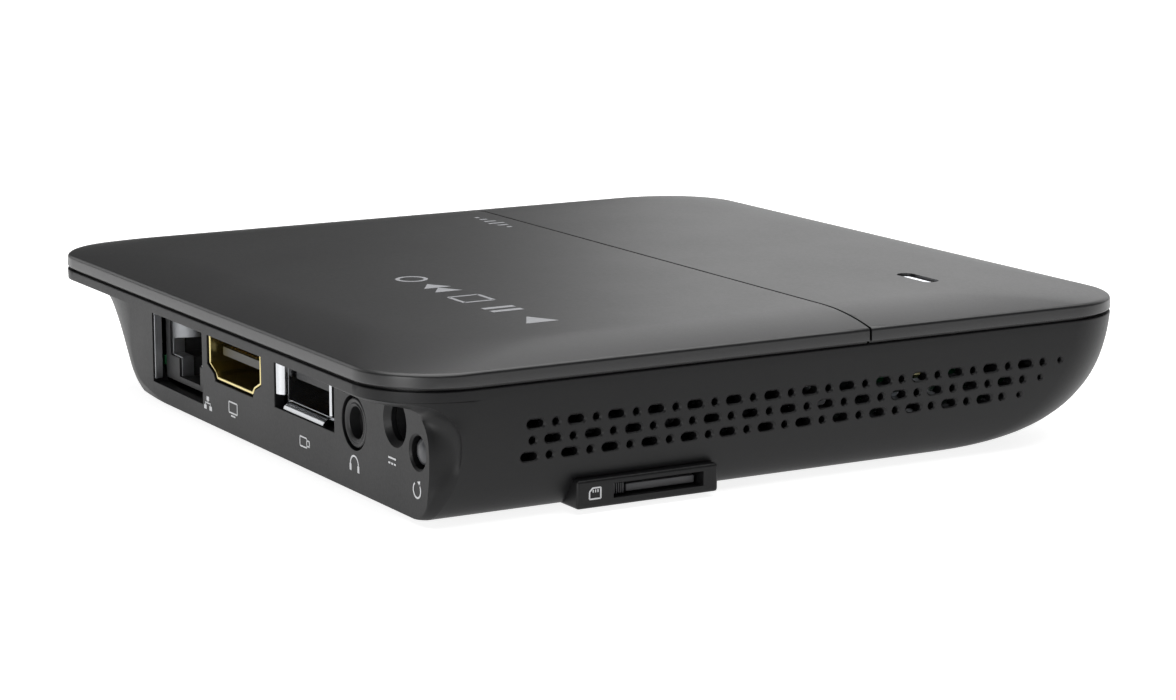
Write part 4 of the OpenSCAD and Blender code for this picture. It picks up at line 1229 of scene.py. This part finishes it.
class PLAYER_OT_prints(bpy.types.Operator):
    """Make the screen-printed pictograms beside the sockets and on the lid"""
    bl_idname = "player.prints"
    bl_label = "Printed marks"

    def execute(self, context):
        self.height = context.scene.player_sizes.print_height / MM
        self.panel_marks()
        self.lid_marks()
        return {"FINISHED"}

    def panel_marks(self):
        marks = bmesh.new()
        for draw, x, z in ((self.network, 10.2, 3.1), (self.screen, 2.7, 3.7),
                           (self.plug, -16.9, 3.6), (self.headphones, -30.1, 3.7),
                           (self.direct_current, -39.4, 5.9), (self.restart, -45.2, 3.9)):
            drawing = bmesh.new()
            draw(drawing)
            put(marks, drawing, seen_from_behind(x, PANEL_Y + 0.001, z))
        drawing = bmesh.new()
        self.card(drawing)
        upright = Matrix.Rotation(math.radians(90), 4, "X")
        put(marks, drawing, Matrix.Translation((CARD_PAD[0].x - 0.001, 25.2, 2.25))
            @ Matrix.Rotation(math.radians(-90), 4, "Z") @ upright)
        finished(marks, "panel_marks", finish("ink"))

    def lid_marks(self):
        marks = bmesh.new()
        drawing = bmesh.new()
        self.transport(drawing)
        put(marks, drawing, Matrix.Translation((-17.1, 22.75, TOP_Z + 0.001)))
        drawing = bmesh.new()
        self.waves(drawing)
        put(marks, drawing, Matrix.Translation((32.5, -6.8, TOP_Z + 0.001)))
        finished(marks, "lid_marks", finish("ink_lid"))

    def network(self, bm):
        h = self.height
        for x, y in ((0, 0.55), (-0.8, -0.55), (0.8, -0.55)):
            add_bar(bm, (x, y), 0.72, 0.52, h)
        for line in ([(-0.8, 0), (0.8, 0)], [(0, 0.3), (0, 0)], [(-0.73, 0), (-0.73, -0.3)],
                     [(0.73, 0), (0.73, -0.3)]):
            add_path(bm, line, 0.14, h)

    def screen(self, bm):
        add_path(bm, around(1.2, 0.8, -0.5), 0.18, self.height)
        add_path(bm, [(-0.6, -0.85), (0.6, -0.85)], 0.18, self.height)

    def plug(self, bm):
        add_path(bm, around(0.9, 0.55, -0.55), 0.17, self.height)
        for line in ([(0.9, 0.32), (1.6, 0.32)], [(0.9, -0.32), (1.6, -0.32)],
                     [(1.6, 0.4), (1.6, -0.4)]):
            add_path(bm, line, 0.17, self.height)

    def headphones(self, bm):
        band = bmesh.new()
        add_ring(band, (0, 0), 1.0, 0.2, self.height, 180)
        put(bm, band, Matrix.Translation((0, -0.1, 0)))
        for x in (-0.98, 0.98):
            add_bar(bm, (x, -0.475), 0.44, 0.75, self.height)

    def direct_current(self, bm):
        add_path(bm, [(-0.9, 0.3), (0.9, 0.3)], 0.2, self.height)
        for x in (-0.65, 0, 0.65):
            add_path(bm, [(x - 0.22, -0.3), (x + 0.22, -0.3)], 0.2, self.height)

    def restart(self, bm):
        arc = bmesh.new()
        add_ring(arc, (0, 0), 0.85, 0.2, self.height, 290)
        put(bm, arc, Matrix.Rotation(math.radians(125), 4, "Z"))
        add_patch(bm, [(0.1, 0.95), (0.75, 1.1), (0.7, 0.4)], self.height)

    def card(self, bm):
        outline = [(-0.7, -0.6), (0.7, -0.6), (0.7, 0.6), (-0.3, 0.6), (-0.7, 0.2), (-0.7, -0.6)]
        add_path(bm, outline, 0.16, self.height)
        for x in (-0.25, 0.05, 0.35):
            add_path(bm, [(x, 0.1), (x, 0.42)], 0.12, self.height)

    def transport(self, bm):
        """Play, pause, stop, forward and record signs in a row."""
        h = self.height
        add_patch(bm, [(-17, -2.1), (-13.2, 0), (-17, 2.1)], h)
        for x in (-8.6, -6.6):
            add_bar(bm, (x, 0), 1.0, 4.0, h)
        add_path(bm, [(-2, -1.9), (2, -1.9), (2, 1.9), (-2, 1.9), (-2, -1.9)], 0.5, h)
        for x in (5.6, 8.4):
            add_patch(bm, [(x, -1.8), (x + 2.7, 0), (x, 1.8)], h)
        add_ring(bm, (15.2, 0), 1.7, 0.5, h)

    def waves(self, bm):
        """A row of level bars."""
        for k, tall in enumerate((0.7, 1.5, 2.3, 1.7, 1.1, 0.6)):
            x = -4.5 + 1.8 * k
            add_path(bm, [(x, -tall / 2), (x, tall / 2)], 0.6, self.height)


class PLAYER_OT_feet(bpy.types.Operator):
    """Make the four moulded rubber feet"""
    bl_idname = "player.feet"
    bl_label = "Rubber feet"

    def execute(self, context):
        feet = bmesh.new()
        rounded = [(0, 2.6), (0.02, 3.3), (0.1, 3.6), (0.3, 3.78), (0.5, 3.85), (1.15, 3.88)]
        for x, y in FEET:
            add_rod(feet, (x, y, 0), (0, 0, 1), rounded, 48)
        weld(feet)
        finished(feet, "feet", finish("rubber"), stands_for=["rubber_feet"])
        return {"FINISHED"}


# Parts kept from the frame, by the finish each gets
KEPT_FINISHES = {
    # the case screws are darkened to stand in for the shade behind the vents (painted shade)
    "painted_shade_steel": ["case_screws"],
    "film": ["rating_label"],
    "lamp": ["status_led"],
    "board": ["circuit_board", "wifi_module", "antenna_board"],
    "zinc": ["board_screws"],
    "chip": ["processor", "memory_chips", "flash_chip", "power_chips", "network_transformer",
             "reset_switch"],
    "silicone": ["thermal_pad"],
    "aluminium": ["heat_sink", "capacitors"],
    "ferrite": ["power_inductors"],
    "tin": ["crystals", "wifi_shield", "card_cage"],
    "jacket": ["antenna_lead"],
    "insulator": ["network_housing", "usb_tongue", "power_jack", "card_frame"],
    # the tongue's dark olive is painted reflection of the gold shell, in shade
    "painted_gold_reflection": ["hdmi_tongue"],
    "contact": ["network_contacts", "hdmi_contacts", "usb_contacts", "audio_springs", "power_spring",
                "card_contacts"],
    "nickel": ["power_pin"],
    "nylon": ["reset_plunger", "card_slider"]}


class PLAYER_OT_inner_parts(bpy.types.Operator):
    """Give every part kept from the frame its finish"""
    bl_idname = "player.inner_parts"
    bl_label = "Inner parts"

    def execute(self, context):
        replaced = {n for obj in bpy.data.objects for n in obj.get("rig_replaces", [])}
        kept = {node: name for name, nodes in KEPT_FINISHES.items() for node in nodes}
        for node, name in kept.items():
            frame["nodes"][node].material_slots[0].material = finish(name)
        missed = set(frame["nodes"]) - set(kept) - replaced
        if missed:
            raise RuntimeError(f"no finish for {sorted(missed)}")
        return {"FINISHED"}


# ---------- panel, registration and the whole ----------

STEPS = [PLAYER_OT_finishes, PLAYER_OT_stage, PLAYER_OT_lids, PLAYER_OT_shell,
         PLAYER_OT_network_socket, PLAYER_OT_video_socket, PLAYER_OT_usb_socket,
         PLAYER_OT_audio_socket, PLAYER_OT_reset_button, PLAYER_OT_card_slot, PLAYER_OT_light,
         PLAYER_OT_prints, PLAYER_OT_feet, PLAYER_OT_inner_parts]


class PLAYER_PT_sidebar(bpy.types.Panel):
    """Sizes, colours and building steps of the player"""
    bl_idname = "PLAYER_PT_sidebar"
    bl_label = "Media player"
    bl_space_type = "VIEW_3D"
    bl_region_type = "UI"
    bl_category = "Player"

    def draw(self, context):
        for group in (context.scene.player_sizes, context.scene.player_colours):
            box = self.layout.box()
            for name in group.__annotations__:
                box.prop(group, name)
        for step in STEPS:
            self.layout.operator(step.bl_idname)


CLASSES = [PlayerSizes, PlayerColours, *STEPS, PLAYER_PT_sidebar]


def register():
    for cls in CLASSES:
        bpy.utils.register_class(cls)
    bpy.types.Scene.player_sizes = PointerProperty(type=PlayerSizes)
    bpy.types.Scene.player_colours = PointerProperty(type=PlayerColours)


def unregister():
    del bpy.types.Scene.player_colours
    del bpy.types.Scene.player_sizes
    for cls in reversed(CLASSES):
        bpy.utils.unregister_class(cls)


def main():
    register()
    for step in STEPS:
        group, name = step.bl_idname.split(".")
        getattr(getattr(bpy.ops, group), name)()


if __name__ == "__main__":
    main()
